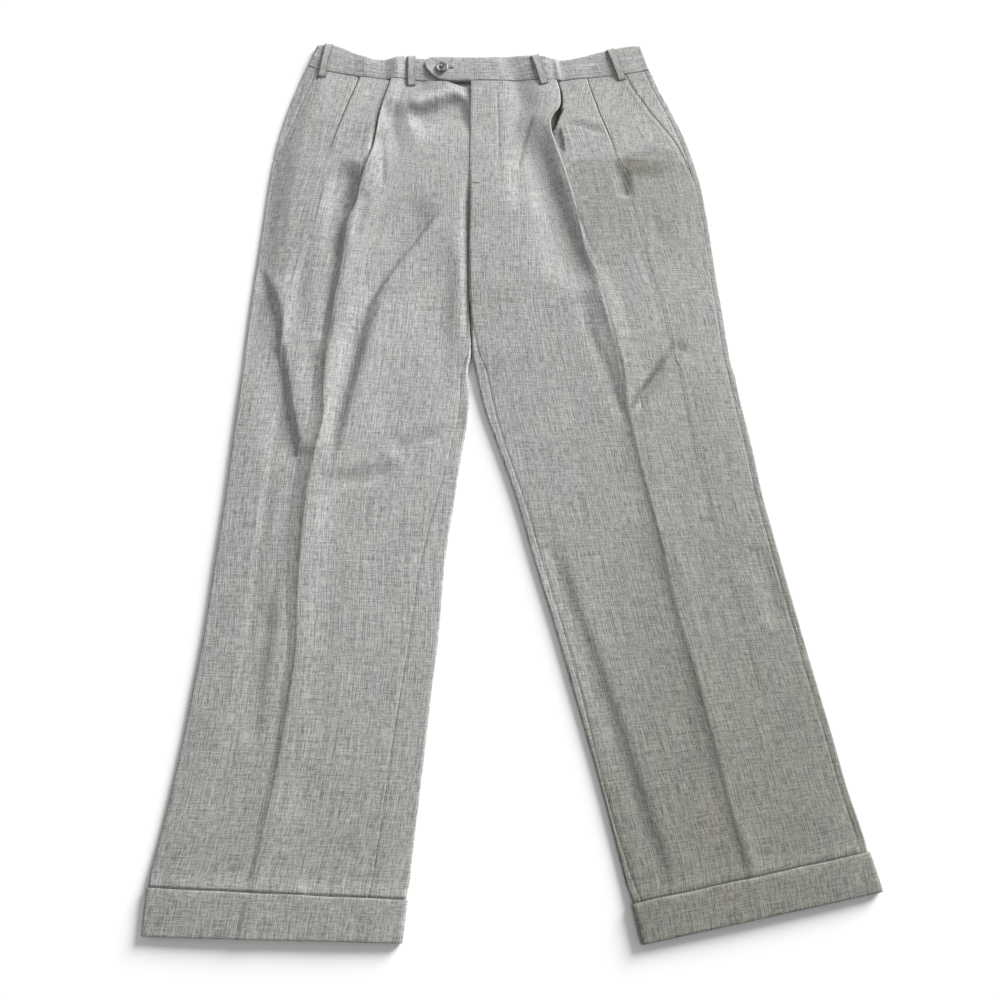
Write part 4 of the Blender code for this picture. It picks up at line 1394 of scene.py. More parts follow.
class Ground:
    """The upper faces of the cloth laid so far, for sewing things onto them."""

    def __init__(self) -> None:
        """Starts with no cloth."""
        self.points: list[Point] = []
        self.faces: Faces = []
        self.tree: BVHTree | None = None

    def add(self, mesh: bpy.types.Mesh) -> None:
        """Adds a mesh's faces.

        Args:
            mesh: The mesh, in metres.
        """
        first = len(self.points)
        self.points += [tuple(vertex.co) for vertex in mesh.vertices]
        self.faces += [tuple(first + index for index in face.vertices) for face in mesh.polygons]
        self.tree = None

    def height(self, x: float, y: float) -> float:
        """Height of the cloth's upper face, or 0 beside the cloth.

        Args:
            x: The point of the plan, in mm.
            y: The same, along the leg.

        Returns:
            The height in mm.
        """
        if self.tree is None:
            self.tree = BVHTree.FromPolygons(self.points, self.faces)
        hit = self.tree.ray_cast(Vector((x * MM, y * MM, 0.1)), Vector((0, 0, -1)))
        return hit[0].z / MM if hit[0] is not None else 0.0

    def lay(self, path: Iterable[tuple[float, float]], lift: float = 0.0) -> list[Vector]:
        """A plan path in mm, laid on the cloth, as points in metres."""
        return [Vector((x, y, self.height(x, y) + lift)) * MM for x, y in path]


def in_scene(name: str, data: bpy.types.ID) -> Object:
    """A new object for a mesh, a light or a camera, in the scene."""
    made = bpy.data.objects.new(name, data)
    bpy.context.scene.collection.objects.link(made)
    return made


def painted_falloff(x: Array, y: Array) -> Array:
    """Painted light falloff: cloth darker and warmer from 0 at the hips to 1 at the left hem."""
    side = 0.55 * ease((x + 40) / 260) * mix(0.45, 1.0, ease((360 - y) / 520))
    return side + 0.55 * ease((100 - y) / 650)


def cloth_piece(
    name: str, points: Array, grain: Array, wall: float, finish: Material,
    ring: bool = False, flip: bool = False, mark: Array | None = None,
) -> Object:  # fmt: skip
    """A cloth piece from a grid of face points, with its grain map, thickened behind its face.

    Args:
        name: The piece's name.
        points: Face points in mm, rows by columns by three.
        grain: The same points on the flat cloth in mm, rows by columns by two.
        wall: Thickness in mm.
        finish: Its material.
        ring: Whether the last column joins the first.
        flip: Whether the columns run the other way for a face that looks out.
        mark: How much greyer it is painted at each point, from 0 up: painted shade and print.

    Returns:
        The piece.
    """
    if flip:
        points, grain = points[:, ::-1], grain[:, ::-1]
        mark = None if mark is None else mark[:, ::-1]
    rows, columns = points.shape[:2]
    if ring:
        points = np.concatenate([points, points[:, :1]], axis=1)
        columns += 1
    index = np.arange(rows * columns).reshape(rows, columns)
    quads = np.stack([index[:-1, :-1], index[1:, :-1], index[1:, 1:], index[:-1, 1:]], axis=-1)
    mesh = bpy.data.meshes.new(name)
    mesh.from_pydata((points.reshape(-1, 3) * MM).tolist(), [], quads.reshape(-1, 4).tolist())
    layer = mesh.uv_layers.new(name="grain")
    corner = np.empty(len(mesh.loops), dtype=np.int32)
    mesh.loops.foreach_get("vertex_index", corner)
    layer.data.foreach_set("uv", grain.reshape(-1, 2)[corner].astype(np.float32).ravel())
    mark = np.zeros((rows, columns)) if mark is None else mark
    # Per point: the mark's painted shade and print, and the painted light falloff.
    for label, values in (("mark", mark), ("painted_falloff", painted_falloff(points[..., 0], points[..., 1]))):
        attribute = mesh.attributes.new(label, "FLOAT", "POINT")
        attribute.data.foreach_set("value", values.astype(np.float32).ravel())
    mesh.materials.append(finish)
    mesh.shade_smooth()
    sharpen_rim(mesh, columns, ring)
    piece = in_scene(name, mesh)
    if ring:
        weld = piece.modifiers.new("Join", "WELD")
        weld.merge_threshold = 0.00001
    solid = piece.modifiers.new("Cloth wall", "SOLIDIFY")
    solid.thickness = wall * MM
    solid.offset = -1
    solid.thickness_clamp = 1.0
    return piece


def sharpen_rim(mesh: bpy.types.Mesh, columns: int, ring: bool) -> None:
    """Marks a cloth grid's outer edges sharp, so that its cut edges don't round off the shading.

    Args:
        mesh: The grid.
        columns: Points in a row.
        ring: Whether its first and last columns will be joined.
    """
    edges = np.empty(len(mesh.loops), dtype=np.int32)
    mesh.loops.foreach_get("edge_index", edges)
    ends = np.empty(2 * len(mesh.edges), dtype=np.int32)
    mesh.edges.foreach_get("vertices", ends)
    rim = np.bincount(edges, minlength=len(mesh.edges)) == 1
    if ring:
        last = len(mesh.vertices) - columns
        first_row, last_row = (ends < columns).reshape(-1, 2), (ends >= last).reshape(-1, 2)
        rim &= first_row.all(axis=1) | last_row.all(axis=1)
    mesh.attributes.new("sharp_edge", "BOOLEAN", "EDGE").data.foreach_set("value", rim)


def run_grain(points: Array) -> Array:
    """The grain map of a narrow piece.

    Args:
        points: Its face points in mm, rows by columns by three.

    Returns:
        The map in mm, along its columns and down its rows.
    """
    steps = np.linalg.norm(np.diff(points, axis=1), axis=2)
    across = np.concatenate([np.zeros((len(points), 1)), np.cumsum(steps, axis=1)], axis=1)
    middle = points[:, points.shape[1] // 2]
    down = np.concatenate([[0.0], np.cumsum(np.linalg.norm(np.diff(middle, axis=0), axis=1))])
    return np.stack([across, np.broadcast_to(-down[:, None], across.shape)], axis=-1)


@dataclass
class Piece:
    """A cloth piece, the CAD node it replaces, its cut, and what it rests on."""

    piece: Object
    node: str
    cut: Cut
    rests_on: tuple[str, ...]


class Wardrobe:
    """Attaches finished pieces, hides the CAD nodes they replace, and logs them."""

    def __init__(self, ground: Ground) -> None:
        """Takes the cloth that later pieces lie on."""
        self.ground = ground

    def cloth(self, made: Piece) -> None:
        """Attaches a sheet of cloth, hides the CAD node it replaces, and adds it to the ground.

        Args:
            made: The sheet and what is known about it.
        """
        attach(made.piece, "root")
        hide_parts(made.node)
        self.ground.add(made.piece.data)
        log.info("%s: cloth, %d faces", made.piece.name, len(made.piece.data.polygons))

    def trim(self, piece: Object, slot: str, *nodes: str) -> None:
        """Attaches a stiff or sewn piece and hides the CAD nodes it replaces.

        Args:
            piece: The piece.
            slot: Its material slot. Not used.
            nodes: The CAD nodes that it replaces.
        """
        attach(piece, "root")
        if nodes:
            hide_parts(*nodes)
        log.info("%s: trim, %d faces", piece.name, len(piece.data.polygons))


@dataclass
class LegCloth:
    """The panels of one leg: front, back, the piece behind the pocket, and the turn-up cuff."""

    shape: LegShape
    finishes: Finishes
    spacing: float = 4.2
    front_cut: Cut = Cut(330, 1010, 251000)
    back_cut: Cut = Cut(330, 1010, 262000)
    side_cut: Cut = Cut(40, 150, 3800)
    cuff_cut: Cut = Cut(520, 41, 20500)

    def name(self, part: str) -> str:
        """A piece's name on this leg."""
        return f"{self.shape.side.value}_{part}"

    def mark(self, points: Array) -> Array:
        """How much greyer the cloth is painted: painted shade along the crotch seam on the right
        leg;
        on the left leg the pocket's print, painted shade under the open pleat and along the fold by
        the knee, and darker towards the inner hem.

        Args:
            points: Points of the cloth in mm.

        Returns:
            The mark at each point, from 0 up.
        """
        x, y = points[..., 0], points[..., 1]
        if self.shape.side is Side.RIGHT:
            # Painted shade along the groove of the crotch seam.
            shade = ease((330 - y) / 90) * ease((y - 96) / 40)
            return 1.3 * bump(x, -51, 1.7) * shade
        # Painted shade along the fold that branches off the crease at the knee.
        knee = fold_height(x, y, (KNEE_SHADE,))
        # The pocket bag's print, and the stripe of its edge.
        patch = ease((x - 122) / 8) * ease((216 - x) / 60)
        patch = patch * ease((355 - y) / 5) * ease((y - 322) / 14)
        stripe = ease((x - 126) / 6) * ease((150 - x) / 8)
        stripe = stripe * ease((348 - y) / 8) * ease((y - 290) / 30)
        lower = 0.35 * ease((x - 60) / 30) * ease((355 - y) / 10) * ease((y - 150) / 150)
        # Painted shade inside the open pleat, darker where the cloth lies deepest.
        gape = ease((66 - x) / 6) * ease((x - 42) / 4) * ease((456 - y) / 8) * ease((y - 386) / 12)
        gape = gape * ease((8.5 - points[..., 2]) / 2.5)
        # Darker towards the inner hem.
        hem = 0.25 * ease((168 - x) / 44) * ease((-250 - y) / 180)
        return np.clip(patch * 0.9 + stripe * 0.5 + lower + 1.6 * gape + hem + knee, 0, 1.6)

    def painted_fold_shade(self, at: Array, place: Array, mark: Array) -> Array:
        """Adds painted shade along the side pleat's fold and along the pressed crease to a front.

        Args:
            at: Rows.
            place: Places across them.
            mark: The marks so far.

        Returns:
            The marks with both lines of painted shade.
        """
        fold = self.shape.pleat(0, at)[0]
        line = bump(place - fold, -0.6, 0.8) * ease((3.5 - at) / 0.8)
        mark = np.maximum(mark, 1.1 * line)
        crease = self.shape.pleat(1, at)[0]
        if self.shape.side is Side.RIGHT:
            soft = mix(5.0, 1.8, ease(at - 14))
            painted_shade = mix(0.8, 0.3, ease((at - 17) / 1.6))
        else:
            soft = 1.5
            painted_shade = mix(1.3, 0.7, ease((at - 13.5) / 1.6))
        width = np.where(place < crease - 0.8, soft, 1.5)
        line = bump(place - crease, -0.8, width) * ease((at - 7) / 3)
        return mark + painted_shade * line

    def lofted(self, part: str, last: float, section: Callable[[Array], Pair]) -> Object:
        """A panel lofted along the leg from the waist seam.

        Args:
            part: What the panel is.
            last: Its last row.
            section: Gives its places and heights at rows.

        Returns:
            The panel.
        """
        at = stations(0, last, self.shape, self.spacing)
        place, height = section(at)
        points = self.shape.point_grid(at, place, height)
        mark, flip = self.mark(points), self.shape.wide < 0
        if part == "front":
            # Painted shade along the side pleat's fold and along the crease.
            mark = self.painted_fold_shade(at, place, mark)
        elif part == "pocket_side":
            mark, flip = None, self.shape.wide > 0
        return cloth_piece(
            self.name(part), points, self.shape.grain(at, place), WALL, self.finishes.wool,
            flip=flip, mark=mark,
        )  # fmt: skip

    def cuff(self) -> Object:
        """The turn-up, a ring round the hem with a folded upper edge that stands off a little.

        Returns:
            The cuff.
        """
        shape = self.shape
        at, out = (np.array(part)[:, None] for part in zip(*CUFF_PROFILE))
        out = CUFF_LIFT + out
        quarter = (ROLL + out) * math.pi / 2
        outer = shape.over_side(at, spread(-quarter, quarter, 11), False, out)
        inner = shape.over_side(at, spread(quarter, -quarter, 11), True, out)
        fold, depth, _ = shape.pleat(1, at)
        sections = [outer]
        places = spread(outer[0][:, -1:], fold + depth, 26)[:, 1:]
        sections.append((places, shape.top(at, places, (True, False)) + out))
        places = spread(fold + depth, fold, 5)[:, 1:]
        low, high = shape.top(at, places, (True, False)), shape.top(at, places, (True, True))
        share = np.array([[0.2, 0.5, 0.82, 1.0]])
        sections.append((places, mix(low, high, share) + out))
        places = spread(fold, inner[0][:, :1], 44)[:, 1:-1]
        sections.append((places, shape.top(at, places, (True, True)) + out))
        sections.append(inner)
        places = spread(inner[0][:, -1:], outer[0][:, :1], 14)[:, 1:-1]
        sections.append((places, (shape.tuck(at) - out) * np.ones_like(places)))
        place, height = (np.concatenate(part, axis=1) for part in zip(*sections))
        # The folded edge gapes between its tacks, and wavers a little.
        gape = 0.45 * np.abs(np.sin(place / 19.0)) ** 3 * ease((20.5 - at) / 0.45)
        above = ease((height - ROLL) / ROLL)
        points = shape.point_grid(at, place, height + gape * above)
        points[..., 1] += 0.35 * np.sin(place / 11.0 + 1.0) * ease((20.3 - at) / 0.3)
        places = np.concatenate([place, place[:, :1]], axis=1)
        grain = shape.grain(at, places) + np.array([0.0, 61.0])
        return cloth_piece(
            self.name("cuff"), points, grain, WALL, self.finishes.wool, ring=True,
            mark=np.pad(self.mark(points), ((0, 0), (0, 1)), mode="wrap"),
        )  # fmt: skip

    def build(self, wardrobe: Wardrobe) -> None:
        """Makes every piece of the leg, from below to above, and hands each to the wardrobe.

        Args:
            wardrobe: Attaches each finished piece.
        """
        shape, side = self.shape, self.shape.side.value
        on_back, on_front = (f"{side}_back",), (f"{side}_front",)
        back = self.lofted("back", LEG_END_ROW, shape.back_section)
        wardrobe.cloth(Piece(back, f"back_{side}", self.back_cut, ()))
        behind = self.lofted("pocket_side", POCKET_END_ROW, shape.side_section)
        wardrobe.cloth(Piece(behind, f"pocket_side_{side}", self.side_cut, on_back))
        front = self.lofted("front", LEG_END_ROW, shape.front_section)
        wardrobe.cloth(Piece(front, f"front_{side}", self.front_cut, on_back))
        wardrobe.cloth(Piece(self.cuff(), f"cuff_{side}", self.cuff_cut, on_front))


@dataclass
class Waistband:
    """One half of the waistband: its front strip, the roll at the side, and its back strip."""

    shape: LegShape
    table: tuple[Station, ...]
    finishes: Finishes
    cut: Cut
    step: float = 1.6

    def face(self, x: Array) -> Array:
        """Height of the band's face, a little above the front below it.

        Args:
            x: Places along the band in mm.

        Returns:
            The height at each.
        """
        leg, at = self.shape, np.zeros((1, 1))
        place = np.abs(np.asarray(x, float) - leg.rows[0].outer_x)[None]
        height = leg.top(at, place, (False, False))
        for which in (0, 1):
            inside = leg.top(at, place, (True, which == 1))
            height = np.where(place > leg.pleat(which, at)[0], inside, height)
        return smoothed(height[0], BAND_SMOOTHING) + BAND_STEP

    def heights(self, x: Array) -> Array:
        """Height of the face along the band, with the tab and the button stand raised.

        Args:
            x: Places along the band in mm.

        Returns:
            The height at each.
        """
        height, level = self.face(x), FLAT_BAND + BAND_STEP
        if self.shape.laps_over:
            return mix(height, level + TAB_STEP, ease((-28 - x) / 24))
        return mix(height, level - STAND_DROP, ease((x + 122) / 20))

    def strip(self, x: Array, height: Array) -> Array:
        """Points across the band, its edges rolled down.

        Args:
            x: Places along the waist seam in mm.
            height: Height of the face at each.

        Returns:
            The points in mm, one row of them for each place.
        """
        table = sorted(self.table, key=lambda station: station.seam_x)
        knots = [station.seam_x for station in table]
        above, top_x, top_y = (
            along(knots, [getattr(station, name) for station in table], x)
            for name in ("above", "top_x", "top_y")
        )
        seam_y = self.shape.waist_y(x) + np.maximum(above, 0)
        keys, drops = zip(*BAND_PROFILE)
        share = np.concatenate([keys[:4], np.linspace(0.12, 0.88, 20), keys[9:]])
        drop = np.interp(share, keys, drops)
        grid_x = mix(x[:, None], top_x[:, None], share[None])
        grid_y = mix(seam_y[:, None], top_y[:, None], share[None])
        grid_z = height[:, None] + drop[None] * np.minimum(height[:, None] / 4, 1)
        return np.stack([grid_x, grid_y, grid_z], axis=-1)

    def ripple(self, points: Array) -> Array:
        """Slight unevenness of the band, the small upright fold beside its third loop, and the
        pull of the button on the tab.

        Args:
            points: Points of the face in mm.

        Returns:
            How far each is raised.
        """
        x, y, z = points[..., 0], points[..., 1], points[..., 2]
        uneven = 0.12 * np.sin(x / 11.0 + 0.4) + 0.08 * np.sin(x / 5.1 + y / 9.0)
        if self.shape.laps_over:
            lean = (y - 480) * 0.15
            uneven = uneven + 1.1 * bump(x - 58 + lean, 0, 3.2) - 0.9 * bump(x - 50 + lean, 0, 4.0)
            tip = ease((-84 - x) / 22) * ease((490 - y) / 14)
            uneven = uneven + 2.2 * tip + fold_height(x, y, BUTTONHOLE_PUCKERS)
        return uneven * ease((z - 4) / 3)

    def build(self, wardrobe: Wardrobe) -> None:
        """Args:
            wardrobe: Attaches each finished piece.
        """
        table, wide = self.table, self.shape.wide
        side, end = table[0].seam_x, table[-1].seam_x
        count = int(abs(end - side) / self.step)
        radius = float(self.heights(np.array([side]))[0]) / 2
        x = np.linspace(end, side + wide * radius, count)
        height = self.heights(x)
        front = self.strip(x, height)
        front[..., 2] += self.ripple(front)
        edge = self.strip(np.array([side]), np.array([0.0]))[0]
        rolls = []
        for turn in np.linspace(80, -90, 11):
            angle = math.radians(turn)
            ring = edge.copy()
            ring[:, 0] += wide * radius * (1 - math.cos(angle))
            ring[:, 2] = radius * (1 + math.sin(angle))
            ring[:, 2] += (front[-1, :, 2] - 2 * radius) * max(math.sin(angle), 0)
            rolls.append(ring)
        back_x = np.linspace(side + wide * 12, CENTRE_X, 40)
        back = self.strip(back_x, np.zeros(40))
        points = np.concatenate([front, np.array(rolls), back])
        steps = np.linalg.norm(np.diff(points[:, 5], axis=0), axis=1)
        run = np.concatenate([[0.0], np.cumsum(steps)])
        rise = np.linalg.norm(np.diff(points, axis=1), axis=2)
        rise = np.concatenate([np.zeros((len(points), 1)), np.cumsum(rise, axis=1)], axis=1)
        grain = np.stack([rise, np.broadcast_to(run[:, None], rise.shape)], axis=-1)
        label = self.shape.side.value
        piece = cloth_piece(
            f"{label}_waistband", points, grain, BAND_WALL, self.finishes.wool, flip=wide > 0
        )
        wardrobe.cloth(Piece(piece, f"waistband_{label}", self.cut, (f"{label}_front",)))


@dataclass
class BeltLoop:
    """A narrow strip over the waistband, turned under and sewn down at both ends."""

    number: int
    top: tuple[float, float]
    foot: tuple[float, float]
    finishes: Finishes
    width: float = 10.0
    stand: float = 1.7
    cut: Cut = Cut(10.5, 55)

    def build(self, wardrobe: Wardrobe) -> Lines:
        """Returns:
            The lines of its edge stitching, whose dark thread also paints the shade at its edges.
        """
        top, foot = np.array(self.top), np.array(self.foot)
        length = float(np.linalg.norm(foot - top))
        run = (foot - top) / length
        side = np.array([-run[1], run[0]])
        even, probes = np.linspace(0.03, 0.96, 22), np.linspace(0, 1, 25)
        shares = np.concatenate([[0.0, 0.0, 0.01], even, [0.985, 1.0, 1.0, 0.975]])
        lifts = np.concatenate([[-1.1, -0.5, -0.1], np.zeros(22), [-0.15, -0.5, -1.0, -1.3]])
        across, crown = (np.array(part) for part in zip(*LOOP_PROFILE))
        beneath = []
        for share in probes:
            middle = top + (foot - top) * share
            spots = [middle + side * self.width * off for off in (-0.45, 0.0, 0.45)]
            beneath.append(max(wardrobe.ground.height(*spot) for spot in spots))
        beneath[0] = beneath[1]
        level = np.maximum(beneath, smoothed(beneath, LOOP_SMOOTHING))
        grid = []
        for share, lift in zip(shares, lifts):
            middle = top + (foot - top) * share
            height = float(np.interp(share, probes, level)) + LOOP_WALL + 0.25
            height += self.stand * math.sin(math.pi * min(max(share, 0.0), 1.0)) ** 0.6 + lift
            narrow = 1.0 - 0.05 * math.sin(math.pi * share)
            for off, bow in zip(across, crown):
                grid.append((*(middle + side * self.width / 2 * off * narrow), height + bow))
        points = np.array(grid).reshape(len(shares), len(across), 3)
        rows = np.linspace(0, length, len(shares))[:, None]
        grain = np.stack(np.broadcast_arrays(across[None] * self.width / 2, -rows), axis=-1)
        # Painted shade along both edges of the loop, where it stands off the band.
        painted_shade = np.broadcast_to(1.2 * ease((np.abs(across) - 0.6) / 0.3), points.shape[:2])
        piece = cloth_piece(
            f"loop_{self.number}", points, grain, LOOP_WALL, self.finishes.wool, mark=painted_shade
        )
        rests_on = ("right_waistband",) if self.number < 3 else ("left_waistband",)
        wardrobe.cloth(Piece(piece, f"belt_loop_{self.number}", self.cut, rests_on))
        # Its edge stitching sits at the very edges, so the dark thread also paints a shade line
        # there.
        return [[Vector(points[row, column]) * MM for row in range(2, 27)] for column in (1, 9)]


@dataclass
class Fly:
    """Under the fly edge: the zip's tape with its coil, and the shield behind it."""

    finishes: Finishes
    shield_width: float = 33.0
    tape_width: float = 22.0
    tape_wall: float = 0.5
    coil_pitch: float = 1.3
    inset: float = 1.2
    shield_cut: Cut = Cut(33, 158, 4900)
    tape_cut: Cut = Cut(22, 158, 3300)

    def strip(self, width: float, below: float) -> Pair:
        """A strip beside the fly edge.

        Args:
            width: Its width in mm.
            below: How far it lies below the front's face.

        Returns:
            Its points in mm, and its grain map.
        """
        at = np.linspace(0.02, 4.0, 46)[:, None]
        taper = 1 - 0.4 * ease((at - 3.4) / 0.6)
        inner = LEFT.width(at) - FLY_LAP - self.inset
        place = inner - width * taper * np.linspace(1, 0, 14)[None]
        height = LEFT.top(at, place, (True, True)) - below
        points = LEFT.point_grid(at, place, height)
        return points, run_grain(points)

    def build(self, wardrobe: Wardrobe, sewing: "Sewing") -> None:
        """Args:
            wardrobe: Attaches each finished piece.
            sewing: Sets the coil along the tape.
        """
        points, grain = self.strip(self.shield_width, 3.2)
        shield = cloth_piece("shield", points, grain, WALL, self.finishes.wool, flip=True)
        wardrobe.cloth(Piece(shield, "fly_shield", self.shield_cut, ("right_front",)))
        points, grain = self.strip(self.tape_width, 2.3)
        tape = cloth_piece("zip_band", points, grain, self.tape_wall, self.finishes.tape, flip=True)
        wardrobe.cloth(Piece(tape, "fly_zip", self.tape_cut, ("shield",)))
        line = [Vector(point) * MM + Vector((0, 0, 0.0003)) for point in points[2:-3, 7]]
        turns = Stitch(self.coil_pitch, 0.8, 4.6, 0.75)
        coil = sewing.run("zip_coil", [line], turns, self.finishes.tape)
        wardrobe.trim(coil, "zip_tape")


@dataclass(frozen=True)
class Stitch:
    """One kind of stitch in mm: how far apart, its size, and its turn from the seam in degrees."""

    pitch: float
    length: float
    width: float
    height: float
    turn: float = 0.0
    seed: int = 0


class Sewing:
    """Sews rows of stitches along lines, with one geometry node tree."""

    def __init__(self) -> None:
        """Builds the tree."""
        self.tree, self.sockets = self.build_tree()

    @staticmethod
    def build_tree() -> tuple[NodeTree, dict[str, str]]:
        """Builds the tree that sets stitches along a line.

        Returns:
            The tree, and its inputs' identifiers by name.
        """
        group, given, result = new_group(
            "Row of stitches",
            {
                "Line": ("Geometry", None),
                "Pitch": ("Float", 0.003),
                "Length": ("Float", 0.002),
                "Width": ("Float", 0.0005),
                "Height": ("Float", 0.0003),
                "Turn": ("Float", 0.0),
                "Uneven": ("Float", 0.06),
                "Seed": ("Int", None),
                "Thread": ("Material", None),
            },
            {"Stitches": "Geometry"},
            "GeometryNodeTree",
        )
        tree = Tree(group)
        line = tree.add("GeometryNodeMeshToCurve", {0: given.outputs["Line"]})
        even = tree.add(
            "GeometryNodeResampleCurve",
            {"Curve": line.outputs[0], "Length": given.outputs["Pitch"]},
            mode="LENGTH",
        )
        aim = tree.add(
            "FunctionNodeAlignRotationToVector",
            {"Vector": tree.add("GeometryNodeInputTangent").outputs[0]},
            axis="X",
            pivot_axis="Z",
        )
        chance = tree.add(
            "FunctionNodeRandomValue",
            {2: -1.0, 3: 1.0, "Seed": given.outputs["Seed"]},
            data_type="FLOAT",
        )
        wobble = tree.math("MULTIPLY", chance.outputs[1], given.outputs["Uneven"])
        turn = tree.math("ADD", given.outputs["Turn"], wobble)
        spin = tree.add("ShaderNodeCombineXYZ", {2: turn})
        rotation = tree.add("FunctionNodeEulerToRotation", {0: spin.outputs[0]})
        turned = tree.add(
            "FunctionNodeRotateRotation",
            {0: aim.outputs[0], 1: rotation.outputs[0]},
            rotation_space="LOCAL",
        )
        bead = tree.add("GeometryNodeMeshUVSphere", {"Segments": 8, "Rings": 5, "Radius": 0.5})
        size = tree.add(
            "ShaderNodeCombineXYZ",
            {0: given.outputs["Length"], 1: given.outputs["Width"], 2: given.outputs["Height"]},
        )
        placed = tree.add(
            "GeometryNodeInstanceOnPoints",
            {
                "Points": even.outputs[0],
                "Instance": bead.outputs[0],
                "Rotation": turned.outputs[0],
                "Scale": size.outputs[0],
            },
        )
        real = tree.add("GeometryNodeRealizeInstances", {0: placed.outputs[0]})
        smooth = tree.add("GeometryNodeSetShadeSmooth", {0: real.outputs[0]})
        dressed = tree.add(
            "GeometryNodeSetMaterial",
            {"Geometry": smooth.outputs[0], "Material": given.outputs["Thread"]},
        )
        tree.feed(result, {"Stitches": dressed.outputs[0]})
        inputs = [item for item in group.interface.items_tree if item.in_out == "INPUT"]
        return group, {item.name: item.identifier for item in inputs}

    def run(self, name: str, lines: Lines, stitch: Stitch, thread: Material) -> Object:
        """Sews along lines.

        Args:
            name: Name of the sewn piece.
            lines: Lines of points in metres.
            stitch: The kind of stitch.
            thread: Its material.

        Returns:
            All the stitches as one mesh.
        """
        points, edges = [], []
        for line in lines:
            edges += [(len(points) + step, len(points) + step + 1) for step in range(len(line) - 1)]
            points += [tuple(point) for point in line]
        mesh = bpy.data.meshes.new(f"{name}_line")
        mesh.from_pydata(points, edges, [])
        holder = in_scene(f"{name}_line", mesh)
        modifier = holder.modifiers.new("Stitches", "NODES")
        modifier.node_group = self.tree
        for label, value in (
            ("Pitch", stitch.pitch * MM), ("Length", stitch.length * MM),
            ("Width", stitch.width * MM), ("Height", stitch.height * MM),
            ("Turn", math.radians(stitch.turn)), ("Seed", stitch.seed), ("Thread", thread),
        ):  # fmt: skip
            modifier[self.sockets[label]] = value
        graph = bpy.context.evaluated_depsgraph_get()
        sewn = bpy.data.meshes.new_from_object(holder.evaluated_get(graph), depsgraph=graph)
        sewn.name = name
        holder.modifiers.clear()
        bpy.data.objects.remove(holder, do_unlink=True)
        return in_scene(name, sewn)


@dataclass
class WaistButton:
    """A four-hole button with a rounded rim and a sunken middle, a little off the cloth."""

    finishes: Finishes
    centre: tuple[float, float] = (-86.2, 483.6)
    radius: float = 7.5
    height: float = 2.9
    hole: float = 0.95
    pitch: float = 1.55
    dish: float = 0.95
    lift: float = 0.2
    segments: int = 72

    def outline(self) -> list[tuple[float, float]]:
        """The button's side, from above to below.

        Returns:
            Radius and height of each circle in mm.
        """
        rim, top = self.radius, self.height
        return [
            (4.4, top - self.dish), (4.9, top - 0.86), (5.25, top - 0.5), (5.55, top - 0.14),
            (5.95, top), (6.4, top - 0.02), (6.9, top - 0.2), (7.25, top - 0.55), (rim, top - 1.1),
            (rim - 0.05, top - 1.55), (7.05, 0.75), (6.0, 0.25), (3.5, 0.0),
        ]  # fmt: skip

    def circle(
        self, x: float, y: float, radius: float, height: float, turn: float = 0.0
    ) -> list[Point]:
        """A level circle's points, one for each segment."""
        angles = [2 * math.pi * step / self.segments + turn for step in range(self.segments)]
        return [(x + radius * math.cos(a), y + radius * math.sin(a), height) for a in angles]

    def wall(self, above: int, below: int) -> Faces:
        """Faces from one circle down to another, each given by its first point's index."""
        steps = [(step, (step + 1) % self.segments) for step in range(self.segments)]
        return [(above + a, below + a, below + b, above + b) for a, b in steps]

    def build(self, wardrobe: Wardrobe, seat: float) -> None:
        """Args:
            seat: Height of its back, in mm.
        """
        points: list[Point] = []
        faces: Faces = []
        for ring, (radius, height) in enumerate(self.outline()):
            points += self.circle(*self.centre, radius, seat + height)
            if ring:
                faces += self.wall((ring - 1) * self.segments, ring * self.segments)
        self.pierced_disc(points, faces, seat + self.outline()[0][1])
        mesh = bpy.data.meshes.new("button")
        mesh.from_pydata([tuple(value * MM for value in point) for point in points], [], faces)
        mesh.materials.append(self.finishes.button)
        mesh.shade_smooth()
        wardrobe.trim(in_scene("button", mesh), "grey_button", "waist_button")

    def pierced_disc(self, points: list[Point], faces: Faces, level: float) -> None:
        """Fills the rim's middle with a disc that has four holes, and joins it to the back.

        Args:
            points: Points so far, added to.
            faces: Faces so far, added to.
            level: Height of the disc.
        """
        x, y = self.centre
        back = (len(self.outline()) - 1) * self.segments
        floor = level - (self.height - self.dish)
        holes = []
        for corner in range(4):
            middle = math.pi / 4 + corner * math.pi / 2
            spot_x = x + self.pitch * math.sqrt(2) * math.cos(middle)
            spot_y = y + self.pitch * math.sqrt(2) * math.sin(middle)
            holes.append((len(points), len(points) + self.segments))
            for height in (level, floor):
                points += self.circle(spot_x, spot_y, self.hole, height, middle)
        for layer, (height, ring) in enumerate(((level, 0), (floor, back))):
            centre = len(points)
            points.append((x, y, height))
            for corner, starts in enumerate(holes):
                faces += self.sector(ring, starts[layer], centre, corner, layer == 0)
        for above, below in holes:
            faces += self.wall(above, below)

    def sector(self, ring: int, hole: int, centre: int, corner: int, up: bool) -> Faces:
        """Faces between a quarter of the rim, one hole in it and the button's middle.

        Args:
            ring: First point of the rim's circle.
            hole: First point of the hole's circle, the farthest one from the middle.
            centre: The middle point.
            corner: Which quarter.
            up: Whether the faces look up.

        Returns:
            The faces.
        """
        count = self.segments
        quarter = count // 4
        rim = [ring + (corner * quarter + step) % count for step in range(quarter + 1)]
        turns = [round(step * (count / 2) / quarter) for step in range(quarter + 1)]
        near = [hole + (turn - quarter) % count for turn in turns]
        made: Faces = []
        for a, b, c, d in zip(rim, rim[1:], near[1:], near):
            made.append((a, b, c, d) if c != d else (a, b, c))
        inner = [hole + (-quarter - step) % count for step in range(count // 2 + 1)]
        made += [(rim[0], near[0], centre), (near[-1], rim[-1], centre)]
        made += [(a, b, centre) for a, b in zip(inner, inner[1:])]
        return [face if up else face[::-1] for face in made]


